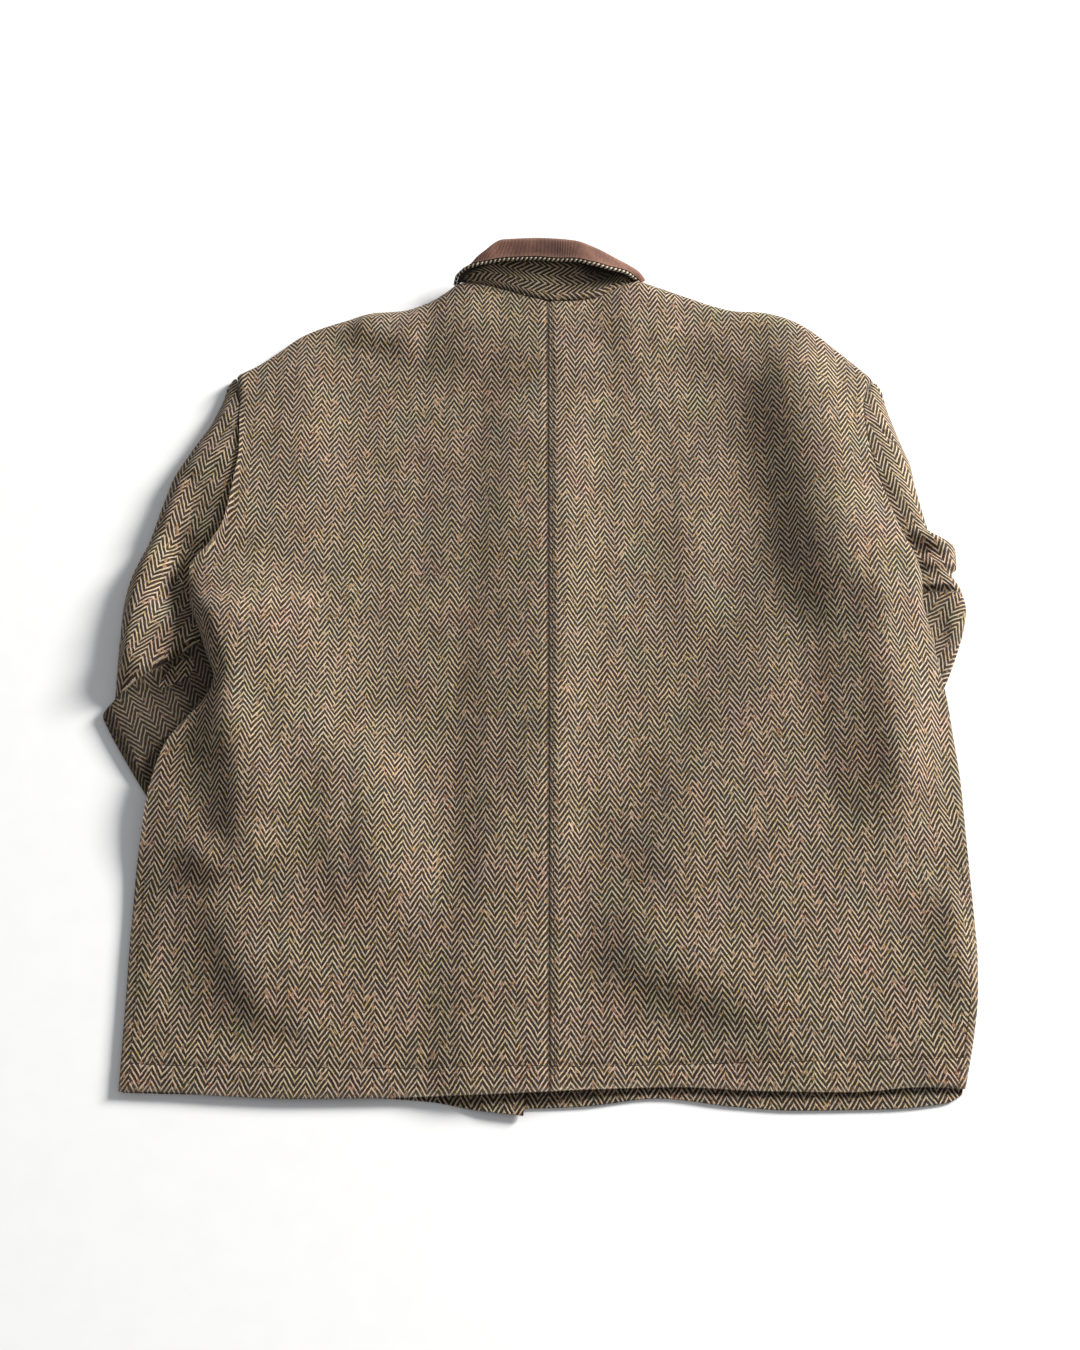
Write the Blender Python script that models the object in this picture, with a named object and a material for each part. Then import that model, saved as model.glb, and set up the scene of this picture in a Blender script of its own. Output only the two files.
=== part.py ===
"""Work jacket in herringbone tweed, laid face down with its back up and its sleeves folded under.

X runs across the jacket, Y from the hem towards the collar, Z up. The centre back seam is at
X = 0 and the surface it lies on is Z = 0. Tables that say mm give heights, all else is in metres.
"""
import math

import bmesh
import bpy
import numpy as np
from mathutils import Vector
from mathutils.bvhtree import BVHTree

MM = 0.001

# ---- cloth ---------------------------------------------------------------------------------
TWEED = 2.2 * MM            # wall of every tweed panel
COLLAR_PLY = 1.6 * MM       # wall of each of the collar's two plies
SEAM = 0.3 * MM             # gap between pieces at a seam
PLY_GAP = 0.6 * MM          # gap between layers that touch
LAYER_GAP = 2.3 * MM        # slack air between the back and the fronts
FLAT_TOP = 6.4 * MM         # top of the back where only back and front lie on the surface
PIPING_RADIUS = 1.5 * MM
PIPING_GAP = 0.9 * MM
SEAM_DIP = 0.9 * MM         # the back's pieces turn down into the centre seam
SEAM_DIP_WIDTH = 0.007
HALF_WIDTH = 0.334          # from the centre back seam to the side seam
LIP = 2.5 * MM              # roundness of the edges of hidden folded layers
COLLAR_STATIONS = 29
STAND_STEPS = 4             # between the neck seam and the fold's arc
FOLD_STEPS = 6              # round the fold's arc
FALL_STEPS = 2              # from the arc to the free edge
FOLD_RADIUS = 3.6 * MM

# ---- laying one layer on another ---------------------------------------------------------------
CELL = 2 * MM               # grid on which the height of the layers is kept
SURFACE_LOW = (-0.40, -0.40)
SURFACE_HIGH = (0.40, 0.44)
SETTLE_PASSES = 30

# ---- buttons, hidden in the lap between the two fronts --------------------------------------
BUTTON_RADIUS = 11 * MM
BUTTON_THICK = 2.6 * MM
BUTTON_COUNT = 5
BUTTON_TOP_Y = 0.245
BUTTON_STEP = 0.135

# ---- what lifts the cloth ---------------------------------------------------------------------
# Each row is a strip from (x0, y0) to (x1, y1), lifted over half_width to each side and fading
# over blend. both = 1 lifts fronts and back, 0 the back alone.
# Columns: x0, y0, x1, y1, half_width, lift_mm, blend, both
LIFTS = {
    "left forearm": (-0.311, 0.002, -0.184, -0.226, 0.052, 9.8, 0.088, 1),
    "left upper arm": (-0.262, 0.280, -0.285, 0.060, 0.022, 10.0, 0.075, 1),
    "right forearm": (0.300, 0.080, 0.134, -0.257, 0.052, 9.8, 0.088, 1),
    "right upper arm": (0.262, 0.270, 0.290, 0.100, 0.030, 9.5, 0.075, 1),
    "neck": (-0.055, 0.385, 0.055, 0.385, 0.020, 13.0, 0.090, 1),
    "left shoulder": (-0.220, 0.335, -0.100, 0.370, 0.012, 5.0, 0.060, 1),
    "right shoulder": (0.100, 0.375, 0.225, 0.345, 0.012, 5.0, 0.060, 1),
    "left side ridge, upper": (-0.290, 0.040, -0.268, -0.060, 0.004, 5.0, 0.034, 1),
    "left side ridge, lower": (-0.268, -0.060, -0.249, -0.135, 0.004, 4.0, 0.034, 1),
    "right side ridge": (0.298, 0.060, 0.301, -0.100, 0.004, 3.5, 0.032, 1),
    "right ridge": (0.222, 0.300, 0.274, -0.100, 0.004, 5.0, 0.050, 1),
    "ridge beside the left cuff": (-0.140, -0.090, -0.130, -0.190, 0.005, 3.0, 0.030, 1),
    "lap of the fronts": (-0.040, -0.378, -0.002, 0.311, 0.024, 4.6, 0.040, 0),
    "centre back seam": (0.000, 0.370, 0.000, -0.100, 0.002, 1.6, 0.045, 0),
    "right side trough": (0.260, 0.060, 0.266, -0.110, 0.003, -1.7, 0.024, 0),
    "mid left trough": (-0.178, -0.040, -0.172, -0.190, 0.003, -1.7, 0.020, 0),
}

# ---- outlines of the back, a row for each place where the edge turns -------------------------
# edge_mm is the height of the cloth's top at the edge, roll the width over which it bends down.
# Columns: x, y, edge_mm, roll
SIDE_LEFT = (
    (-0.334, -0.364, 5.2, 0.012),
    (-0.335, -0.292, 5.2, 0.020),
    (-0.336, -0.233, 5.2, 0.022),
    (-0.336, -0.185, 6.6, 0.024),
    (-0.334, -0.150, 11.5, 0.030),
    (-0.332, -0.121, 14.2, 0.038),
    (-0.328, -0.098, 15.2, 0.042),
    (-0.321, -0.073, 15.6, 0.045),
    (-0.306, -0.050, 16.0, 0.040),
    (-0.291, -0.031, 16.2, 0.030),
    (-0.284, -0.012, 16.6, 0.022),
    (-0.292, 0.012, 17.0, 0.018),
    (-0.301, 0.038, 17.5, 0.014),
    (-0.310, 0.064, 18.0, 0.012),
    (-0.312, 0.094, 18.6, 0.010),
    (-0.297, 0.118, 19.2, 0.008),
    (-0.286, 0.140, 19.6, 0.006),
    (-0.280, 0.181, 19.8, 0.006),
    (-0.277, 0.213, 19.4, 0.006),
    (-0.279, 0.250, 17.8, 0.006),
    (-0.282, 0.280, 13.0, 0.006),
    (-0.286, 0.303, 7.0, 0.006),
)
SIDE_RIGHT = (
    (0.322, -0.362, 5.2, 0.012),
    (0.333, -0.318, 5.2, 0.016),
    (0.339, -0.285, 5.2, 0.020),
    (0.342, -0.240, 5.2, 0.024),
    (0.342, -0.172, 5.2, 0.026),
    (0.342, -0.110, 5.6, 0.028),
    (0.339, -0.060, 7.5, 0.030),
    (0.336, -0.030, 12.5, 0.028),
    (0.331, 0.004, 15.0, 0.022),
    (0.327, 0.036, 15.4, 0.018),
    (0.323, 0.066, 15.8, 0.014),
    (0.324, 0.086, 16.2, 0.012),
    (0.320, 0.106, 16.8, 0.010),
    (0.310, 0.130, 17.6, 0.008),
    (0.303, 0.155, 18.2, 0.006),
    (0.294, 0.190, 18.2, 0.006),
    (0.287, 0.232, 17.4, 0.006),
    (0.286, 0.262, 14.5, 0.006),
    (0.290, 0.284, 10.0, 0.006),
    (0.298, 0.298, 7.0, 0.006),
)
TOP_LEFT = (
    (0.000, 0.381, 20.0, 0.006),
    (-0.015, 0.385, 20.0, 0.006),
    (-0.037, 0.394, 19.4, 0.006),
    (-0.051, 0.399, 18.5, 0.006),
    (-0.066, 0.403, 16.5, 0.007),
    (-0.082, 0.406, 12.0, 0.010),
    (-0.096, 0.398, 7.0, 0.016),
    (-0.112, 0.388, 5.8, 0.020),
    (-0.137, 0.379, 5.4, 0.022),
    (-0.166, 0.376, 5.4, 0.022),
    (-0.189, 0.368, 5.4, 0.020),
    (-0.212, 0.359, 5.4, 0.018),
    (-0.230, 0.349, 5.6, 0.016),
    (-0.250, 0.331, 5.8, 0.012),
    (-0.268, 0.316, 5.4, 0.008),
    (-0.286, 0.303, 7.0, 0.004),
)
TOP_RIGHT = (
    (0.000, 0.381, 20.0, 0.006),
    (0.020, 0.381, 19.8, 0.006),
    (0.042, 0.385, 19.0, 0.006),
    (0.058, 0.393, 17.5, 0.006),
    (0.072, 0.402, 15.0, 0.007),
    (0.086, 0.408, 11.5, 0.010),
    (0.102, 0.405, 7.0, 0.016),
    (0.128, 0.396, 5.6, 0.020),
    (0.158, 0.384, 5.4, 0.022),
    (0.177, 0.379, 5.4, 0.022),
    (0.196, 0.378, 5.4, 0.020),
    (0.219, 0.372, 5.4, 0.018),
    (0.241, 0.359, 5.6, 0.016),
    (0.264, 0.337, 5.8, 0.012),
    (0.284, 0.316, 5.6, 0.008),
    (0.298, 0.298, 7.0, 0.004),
)
HEM_LEFT = (
    (0.000, -0.3655, 11.0, 0.004),
    (-0.054, -0.3680, 11.0, 0.004),
    (-0.116, -0.3690, 5.9, 0.004),
    (-0.193, -0.3700, 5.9, 0.004),
    (-0.247, -0.3680, 5.9, 0.004),
    (-0.294, -0.3650, 5.9, 0.004),
    (-0.334, -0.3640, 5.2, 0.004),
)
HEM_RIGHT = (
    (0.000, -0.3655, 11.0, 0.004),
    (0.039, -0.3630, 8.0, 0.004),
    (0.101, -0.3610, 5.9, 0.004),
    (0.162, -0.3640, 5.9, 0.004),
    (0.232, -0.3650, 5.9, 0.004),
    (0.290, -0.3610, 5.9, 0.004),
    (0.322, -0.3620, 5.2, 0.004),
)

# ---- outlines of the fronts ---------------------------------------------------------------------
# Columns: x, y
FRONT_HEM_LEFT = ((-0.0205, -0.3830), (-0.053, -0.379), (-0.096, -0.371), (-0.180, -0.3665),
                  (-0.297, -0.3650), (-0.3315, -0.3640))
FRONT_HEM_RIGHT = ((-0.060, -0.370), (-0.019, -0.3765), (0.024, -0.375), (0.084, -0.3685),
                   (0.142, -0.375), (0.190, -0.378), (0.260, -0.377), (0.308, -0.372),
                   (0.3195, -0.3660))
NECKLINE_LEFT = ((0.015, 0.312), (-0.012, 0.310), (-0.045, 0.320), (-0.068, 0.345), (-0.080, 0.378),
                 (-0.085, 0.398))
NECKLINE_RIGHT = ((-0.020, 0.312), (0.010, 0.309), (0.045, 0.320), (0.068, 0.345), (0.081, 0.378),
                  (0.088, 0.400))
LAP_FOOT = (-0.040, -0.375)         # the centre front line runs from here
LAP_HEAD = (-0.002, 0.311)          # to here
FRONT_INSET = 4.5 * MM              # the fronts' edges lie this far inside the back's
SHOULDER_INSET = 7.2 * MM           # and their shoulders this far below the back's
NECK_HALF_WIDTH = 0.08
SHOULDER_FALL = 0.03                # the fronts come down to the surface over this width

# ---- sleeves --------------------------------------------------------------------------------------
# Rows where the sleeve is sewn to the armhole. drop_mm is how far it lies below the back there.
# a_mm, b_mm and c_mm are heights of the sleeve's top a third, two thirds and all the way out.
# Columns: outer_x, outer_y, seam_y, drop_mm, a_mm, b_mm, c_mm
HEAD_LEFT = (
    (-0.2940, 0.3020, 0.2990, 0.0, 7.5, 7.5, 7.0),
    (-0.2975, 0.2800, 0.2800, 0.0, 12.5, 12.0, 10.5),
    (-0.3075, 0.2510, 0.2520, 0.0, 17.5, 16.5, 13.5),
    (-0.3210, 0.2270, 0.2230, 0.0, 19.5, 18.0, 14.0),
    (-0.3365, 0.1960, 0.1930, 0.3, 20.0, 19.0, 15.0),
    (-0.3455, 0.1600, 0.1620, 1.0, 19.5, 19.0, 15.0),
    (-0.3525, 0.1270, 0.1380, 3.5, 17.0, 19.0, 16.0),
    (-0.3615, 0.1040, 0.1200, 6.5, 14.0, 18.5, 16.0),
)
HEAD_RIGHT = (
    (0.3060, 0.2970, 0.2930, 0.0, 7.5, 7.5, 7.0),
    (0.3095, 0.2700, 0.2680, 0.0, 12.5, 11.5, 10.0),
    (0.3175, 0.2390, 0.2380, 0.0, 16.0, 15.0, 12.0),
    (0.3260, 0.2110, 0.2080, 0.0, 17.5, 16.5, 13.0),
    (0.3290, 0.1840, 0.1800, 0.5, 17.5, 16.5, 13.0),
    (0.3345, 0.1510, 0.1520, 2.5, 16.0, 16.0, 13.0),
    (0.3375, 0.1370, 0.1340, 5.6, 13.0, 15.0, 13.5),
)
# Rows below the underarm, where the sleeve slips under the body. The elbow's crease is the pair of
# rows that lie a few millimetres apart.
# Columns: outer_x, outer_y, inner_x, inner_y, in_mm, a_mm, b_mm, c_mm
ARM_LEFT = (
    (-0.3670, 0.0830, -0.2860, 0.1120, 11.5, 12.0, 18.5, 17.0),
    (-0.3695, 0.0560, -0.2790, 0.0970, 10.5, 11.5, 18.0, 17.0),
    (-0.3695, 0.0280, -0.2740, 0.0830, 10.0, 11.0, 17.5, 16.5),
    (-0.3690, -0.0040, -0.2700, 0.0700, 9.8, 10.5, 17.0, 16.0),
    (-0.3685, -0.0230, -0.2670, 0.0600, 9.5, 10.5, 16.0, 12.0),
    (-0.3705, -0.0290, -0.2640, 0.0550, 8.6, 9.0, 9.0, 10.0),
    (-0.3775, -0.0400, -0.2450, 0.0420, 8.6, 9.0, 9.0, 9.4),
    (-0.3720, -0.0525, -0.2330, 0.0260, 8.6, 9.0, 9.0, 9.0),
    (-0.3575, -0.0775, -0.2160, -0.0010, 8.6, 9.0, 9.0, 8.8),
    (-0.3415, -0.1030, -0.2010, -0.0250, 8.6, 9.0, 9.0, 8.0),
    (-0.3260, -0.1270, -0.1880, -0.0470, 8.6, 9.0, 9.0, 7.5),
    (-0.2980, -0.1740, -0.1630, -0.0950, 8.6, 9.0, 9.0, 7.5),
    (-0.2640, -0.2290, -0.1390, -0.1530, 8.6, 9.0, 9.0, 7.5),
    (-0.2440, -0.2610, -0.1230, -0.1900, 8.6, 9.0, 9.0, 7.5),
)
ARM_RIGHT = (
    (0.3585, 0.1220, 0.2960, 0.1200, 10.0, 10.8, 15.0, 14.0),
    (0.3580, 0.1040, 0.2900, 0.1020, 9.8, 10.4, 15.0, 14.0),
    (0.3530, 0.0970, 0.2860, 0.0930, 9.5, 10.0, 12.5, 11.0),
    (0.3590, 0.0830, 0.2820, 0.0830, 9.5, 10.0, 14.0, 12.5),
    (0.3610, 0.0760, 0.2780, 0.0780, 8.8, 9.0, 9.0, 9.2),
    (0.3625, 0.0640, 0.2600, 0.0740, 8.6, 9.0, 9.0, 9.0),
    (0.3585, 0.0420, 0.2420, 0.0700, 8.6, 9.0, 9.0, 8.8),
    (0.3525, 0.0240, 0.2260, 0.0660, 8.6, 9.0, 9.0, 8.4),
    (0.3440, 0.0020, 0.2120, 0.0580, 8.6, 9.0, 9.0, 8.0),
    (0.3340, -0.0200, 0.2000, 0.0450, 8.6, 9.0, 9.0, 7.5),
    (0.3080, -0.0760, 0.1740, -0.0110, 8.6, 9.0, 9.0, 7.5),
    (0.2650, -0.1590, 0.1330, -0.0940, 8.6, 9.0, 9.0, 7.5),
    (0.2250, -0.2360, 0.0960, -0.1730, 8.6, 9.0, 9.0, 7.5),
    (0.1980, -0.2880, 0.0700, -0.2260, 8.6, 9.0, 9.0, 7.5),
)
SLEEVE_FOOT = 1.8 * MM      # the sleeve's outer edge comes down to this height
SLEEVE_ROLL = 0.015
ROLL_SHARE = 0.8            # most of a narrow sleeve's width that its rounded edge takes
ARMHOLE_GAP = 0.9 * MM
TUCKED_BELOW_Y = 0.160      # below this the sleeve's top lies under the body
TUCKED_TOP = 12.5 * MM
# The hidden folded layers of each sleeve, one solid: a row for each section.
# Columns: outer_x, outer_y, inner_x, inner_y, height_mm
PACK_LEFT = (
    (-0.297, 0.235, -0.262, 0.235, 7.0),
    (-0.322, 0.190, -0.235, 0.190, 9.0),
    (-0.334, 0.130, -0.222, 0.130, 8.0),
    (-0.350, 0.085, -0.218, 0.095, 6.2),
    (-0.353, 0.030, -0.226, 0.070, 6.0),
    (-0.350, -0.030, -0.238, 0.036, 5.6),
    (-0.325, -0.092, -0.214, -0.028, 5.6),
    (-0.284, -0.162, -0.176, -0.098, 5.6),
    (-0.236, -0.246, -0.138, -0.188, 5.6),
)
PACK_RIGHT = (
    (0.303, 0.235, 0.268, 0.235, 7.0),
    (0.313, 0.190, 0.230, 0.190, 9.0),
    (0.320, 0.140, 0.210, 0.140, 7.0),
    (0.338, 0.100, 0.214, 0.106, 6.0),
    (0.346, 0.055, 0.220, 0.078, 5.6),
    (0.330, 0.000, 0.216, 0.050, 5.6),
    (0.292, -0.076, 0.188, -0.026, 5.6),
    (0.250, -0.158, 0.148, -0.106, 5.6),
    (0.187, -0.274, 0.088, -0.224, 5.6),
)

# ---- collar ---------------------------------------------------------------------------------------
# A row for each station round the neck: the neck seam, the fold and the free edge of the fall.
# Columns: seam_x, seam_y, seam_mm, fold_x, fold_y, fold_mm, edge_x, edge_y, edge_mm
COLLAR = (
    (-0.0745, 0.4085, 11.5, -0.0825, 0.4088, 12.3, -0.0862, 0.4070, 9.0),
    (-0.0690, 0.4070, 14.6, -0.0806, 0.4098, 16.8, -0.0844, 0.4105, 16.3),
    (-0.0620, 0.4050, 16.0, -0.0753, 0.4112, 22.2, -0.0793, 0.4120, 23.2),
    (-0.0540, 0.4030, 16.8, -0.0682, 0.4165, 28.2, -0.0720, 0.4155, 29.8),
    (-0.0485, 0.4010, 17.1, -0.0645, 0.4260, 32.2, -0.0656, 0.4165, 34.6),
    (-0.0430, 0.3990, 17.3, -0.0600, 0.4405, 37.0, -0.0550, 0.4155, 36.8),
    (-0.0310, 0.3945, 17.8, -0.0430, 0.4500, 40.8, -0.0392, 0.4145, 41.6),
    (-0.0120, 0.3875, 18.3, -0.0154, 0.4480, 41.2, -0.0151, 0.4112, 46.4),
    (0.0080, 0.3845, 18.4, 0.0062, 0.4465, 40.8, 0.0062, 0.4087, 47.4),
    (0.0250, 0.3850, 18.2, 0.0245, 0.4445, 39.6, 0.0275, 0.4088, 46.2),
    (0.0420, 0.3884, 17.6, 0.0427, 0.4380, 36.4, 0.0420, 0.4080, 42.4),
    (0.0560, 0.3955, 16.2, 0.0572, 0.4325, 32.0, 0.0580, 0.4068, 36.6),
    (0.0670, 0.4030, 14.4, 0.0722, 0.4255, 27.0, 0.0730, 0.4075, 29.6),
    (0.0750, 0.4075, 12.4, 0.0875, 0.4175, 19.6, 0.0808, 0.4088, 22.0),
    (0.0800, 0.4095, 10.6, 0.0915, 0.4120, 12.4, 0.0881, 0.4070, 14.6),
)
# The collar's front leaves, folded flat under the fronts along the neckline, one solid each.
LEAF_LEFT = (
    (-0.032, 0.270, -0.028, 0.322, 4.0),
    (-0.070, 0.284, -0.046, 0.331, 4.0),
    (-0.102, 0.316, -0.064, 0.350, 4.0),
    (-0.106, 0.352, -0.072, 0.376, 4.0),
    (-0.098, 0.376, -0.073, 0.394, 4.0),
)
LEAF_RIGHT = (
    (0.034, 0.270, 0.030, 0.322, 4.0),
    (0.071, 0.284, 0.047, 0.331, 4.0),
    (0.103, 0.316, 0.065, 0.350, 4.0),
    (0.108, 0.352, 0.073, 0.376, 4.0),
    (0.100, 0.378, 0.074, 0.396, 4.0),
)


# ---- curves and heights ---------------------------------------------------------------------------
def monotone_slopes(knots, values):
    """Slopes for a cubic through the rows that never swings past them."""
    steps = np.diff(knots)[:, None]
    chords = np.diff(values, axis=0) / steps
    slopes = np.zeros_like(values)
    slopes[0], slopes[-1] = chords[0], chords[-1]
    before, after = chords[:-1], chords[1:]
    same_way = before * after > 0
    total = np.where(same_way, before + after, 1.0)
    slopes[1:-1] = np.where(same_way, 2 * before * after / total, 0.0)
    return slopes


def smooth(knots, values, places):
    """A smooth curve through values at knots, read at places."""
    values = np.asarray(values, dtype=float).reshape(len(knots), -1)
    slopes = monotone_slopes(knots, values)
    left = np.clip(np.searchsorted(knots, places, side="right") - 1, 0, len(knots) - 2)
    width = (knots[left + 1] - knots[left])[:, None]
    t = (places[:, None] - knots[left][:, None]) / width
    start, end = values[left], values[left + 1]
    curve = ((2 * t**3 - 3 * t**2 + 1) * start + (t**3 - 2 * t**2 + t) * width * slopes[left]
             + (3 * t**2 - 2 * t**3) * end + (t**3 - t**2) * width * slopes[left + 1])
    return curve.squeeze(1) if curve.shape[1] == 1 else curve


def along(rows, places, by_length=True):
    """Read a table of rows smoothly at places from 0 to 1."""
    values = np.array(rows, dtype=float)
    knots = np.arange(len(values), dtype=float)
    if by_length:
        lengths = np.linalg.norm(np.diff(values[:, :2], axis=0), axis=1)
        knots = np.concatenate([[0.0], np.cumsum(lengths)])
    return smooth(knots / knots[-1], values, np.clip(np.atleast_1d(places), 0.0, 1.0))


def fade(t):
    """1 at t = 0, falling smoothly to 0 at t = 1."""
    t = np.clip(t, 0.0, 1.0)
    return 1.0 - t * t * (3.0 - 2.0 * t)


def rolled(t):
    """Quarter of an ellipse: 0 at the edge, 1 from t = 1 inwards."""
    t = np.clip(t, 0.0, 1.0)
    return np.sqrt(1.0 - (1.0 - t) ** 2)


def lifted(x, y, back_too):
    """Sum of the lifts at (x, y), in metres, of the fronts or of the back as well."""
    total = np.zeros_like(x)
    for x0, y0, x1, y1, half_width, lift_mm, blend, both in LIFTS.values():
        if not (both or back_too):
            continue
        length = math.hypot(x1 - x0, y1 - y0)
        ux, uy = (x1 - x0) / length, (y1 - y0) / length
        forward = (x - (x0 + x1) / 2) * ux + (y - (y0 + y1) / 2) * uy
        aside = (y - (y0 + y1) / 2) * ux - (x - (x0 + x1) / 2) * uy
        away = np.hypot(np.maximum(np.abs(forward) - length / 2, 0.0),
                        np.maximum(np.abs(aside) - half_width, 0.0))
        total = total + lift_mm * MM * fade(away / blend)
    return total


def edged(steps, edge_share, edge_steps):
    """Places from 0 to 1 that crowd towards 1, for an edge that rolls down."""
    inner = np.linspace(0.0, 1.0 - edge_share, steps + 1)[:-1]
    angles = np.linspace(0.0, math.pi / 2, edge_steps + 1)
    return np.concatenate([inner, 1.0 - edge_share * (1.0 - np.sin(angles))])


class Layers:
    """Height of what has been laid down so far, on a grid of cells over the surface."""

    def __init__(self):
        self.x = np.arange(SURFACE_LOW[0], SURFACE_HIGH[0] + CELL, CELL)
        self.y = np.arange(SURFACE_LOW[1], SURFACE_HIGH[1] + CELL, CELL)
        self.top = np.zeros((len(self.y), len(self.x)))

    def add(self, made, below_y=1.0, below_top=1.0):
        """Lay an object down, or only its stretch below a line and a height."""
        bpy.context.view_layer.update()
        tree = BVHTree.FromObject(made, bpy.context.evaluated_depsgraph_get())
        corners = [made.matrix_world @ Vector(corner) for corner in made.bound_box]
        lift = made.matrix_world.translation
        rows = np.flatnonzero((self.y > min(c.y for c in corners) - CELL)
                              & (self.y < min(max(c.y for c in corners) + CELL, below_y)))
        columns = np.flatnonzero((self.x > min(c.x for c in corners) - CELL)
                                 & (self.x < max(c.x for c in corners) + CELL))
        for row in rows:
            for column in columns:
                start = Vector((self.x[column], self.y[row], 1.0)) - lift
                hit = tree.ray_cast(start, (0.0, 0.0, -1.0))[0]
                if hit and hit.z + lift.z < below_top:
                    self.top[row, column] = max(self.top[row, column], hit.z + lift.z)

    def read(self, x, y):
        """Highest of the four cells round each place."""
        column = np.clip(((x - self.x[0]) / CELL).astype(int), 0, len(self.x) - 2)
        row = np.clip(((y - self.y[0]) / CELL).astype(int), 0, len(self.y) - 2)
        return np.max([self.top[row + i, column + j] for i in (0, 1) for j in (0, 1)], axis=0)

    def settle(self, x, y, z, gap):
        """Raise a sheet's underside z just enough to clear the layers by gap all over its cells."""
        z = z.copy()
        shares = np.linspace(0.0, 1.0, 9)
        corners = [(slice(i, i - 1 or None), slice(j, j - 1 or None)) for i in (0, 1) for j in (0, 1)]
        for _ in range(SETTLE_PASSES):
            push = np.zeros_like(z)
            for s in shares:
                for t in shares:
                    parts = ((1 - s) * (1 - t), (1 - s) * t, s * (1 - t), s * t)
                    at = [sum(part * grid[corner] for part, corner in zip(parts, corners))
                          for grid in (x, y, z)]
                    ground = self.read(at[0], at[1])
                    twist = z[:-1, :-1] + z[1:, 1:] - z[:-1, 1:] - z[1:, :-1]
                    sag = np.abs(twist) * min(s, 1 - s, t, 1 - t) / 2
                    need = ground + gap * np.minimum(ground / MM, 1.0) - (at[2] - sag)
                    need = np.maximum(need, 0.0) / sum(part**2 for part in parts)
                    for part, corner in zip(parts, corners):
                        push[corner] = np.maximum(push[corner], need * part)
            z += push
            if push.max() < SEAM / 10:
                break
        return z


def patch(bottom, top, inner, outer, across, up):
    """Grid of rows between four edge curves. Each edge is a function of 0 to 1."""
    u, v = across[None, :, None], up[:, None, None]
    low, high = bottom(across)[None], top(across)[None]
    near, far = inner(up)[:, None], outer(up)[:, None]
    corners = ((1 - u) * (1 - v) * low[:, :1] + u * (1 - v) * low[:, -1:]
               + (1 - u) * v * high[:, :1] + u * v * high[:, -1:])
    return (1 - v) * low + v * high + (1 - u) * near + u * far - corners


# ---- meshes -----------------------------------------------------------------------------------------
def tidy_scene():
    for old in list(bpy.data.objects):
        bpy.data.objects.remove(old, do_unlink=True)


def material(name, colour, roughness):
    made = bpy.data.materials.new(name)
    made.use_nodes = True
    shader = made.node_tree.nodes["Principled BSDF"]
    shader.inputs["Base Color"].default_value = (*colour, 1.0)
    shader.inputs["Roughness"].default_value = roughness
    shader.inputs["Metallic"].default_value = 0.0
    return made


def add_object(name, mesh_maker, finish):
    mesh = bpy.data.meshes.new(name)
    mesh_maker.to_mesh(mesh)
    mesh_maker.free()
    mesh.shade_smooth()
    mesh.materials.append(finish)
    made = bpy.data.objects.new(name, mesh)
    bpy.context.scene.collection.objects.link(made)
    return made


def wall(name, points, finish, thickness=TWEED, lean=1.0, flip=False, shift=0.0):
    """A sheet of cloth: the grid is its outer face, and its thickness lies behind it.

    Where lean is 1 the thickness follows the face's normal, where it is 0 it goes straight down.
    """
    rows, columns = points.shape[:2]
    lean = np.broadcast_to(lean, (rows, columns))
    sheet = bmesh.new()
    bmesh.ops.create_grid(sheet, x_segments=columns - 1, y_segments=rows - 1, size=0.5)
    behind = sheet.verts.layers.float_vector.new("behind")
    leans = sheet.verts.layers.float.new("lean")
    for vert in sheet.verts:
        column = round((vert.co.x + 0.5) * (columns - 1))
        row = round((vert.co.y + 0.5) * (rows - 1))
        vert.co = points[row, column]
        vert[leans] = lean[row, column]
    if flip:
        bmesh.ops.reverse_faces(sheet, faces=sheet.faces)
    sheet.normal_update()
    down = Vector((0.0, 0.0, -1.0))
    for vert, normal in [(vert, vert.normal.copy()) for vert in sheet.verts]:
        vert.co += normal * shift
        vert[behind] = down.lerp(-normal, vert[leans]).normalized() * thickness
    grown = bmesh.ops.extrude_face_region(sheet, geom=sheet.faces[:], use_keep_orig=True)
    for item in grown["geom"]:
        if isinstance(item, bmesh.types.BMVert):
            item.co += item[behind]
    bmesh.ops.recalc_face_normals(sheet, faces=sheet.faces)
    return add_object(name, sheet, finish)


# ---- body -----------------------------------------------------------------------------------------
BODY_ACROSS = np.sort(np.append(edged(12, 0.075, 4), SEAM_DIP_WIDTH / HALF_WIDTH))
BODY_UP = np.concatenate([np.linspace(0.0, 0.6, 15)[:-1], 0.6 + 0.4 * edged(12, 0.1, 3)])
FRONT_ACROSS = edged(11, 0.06, 2)
FRONT_UP = edged(17, 0.05, 2)


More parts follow.
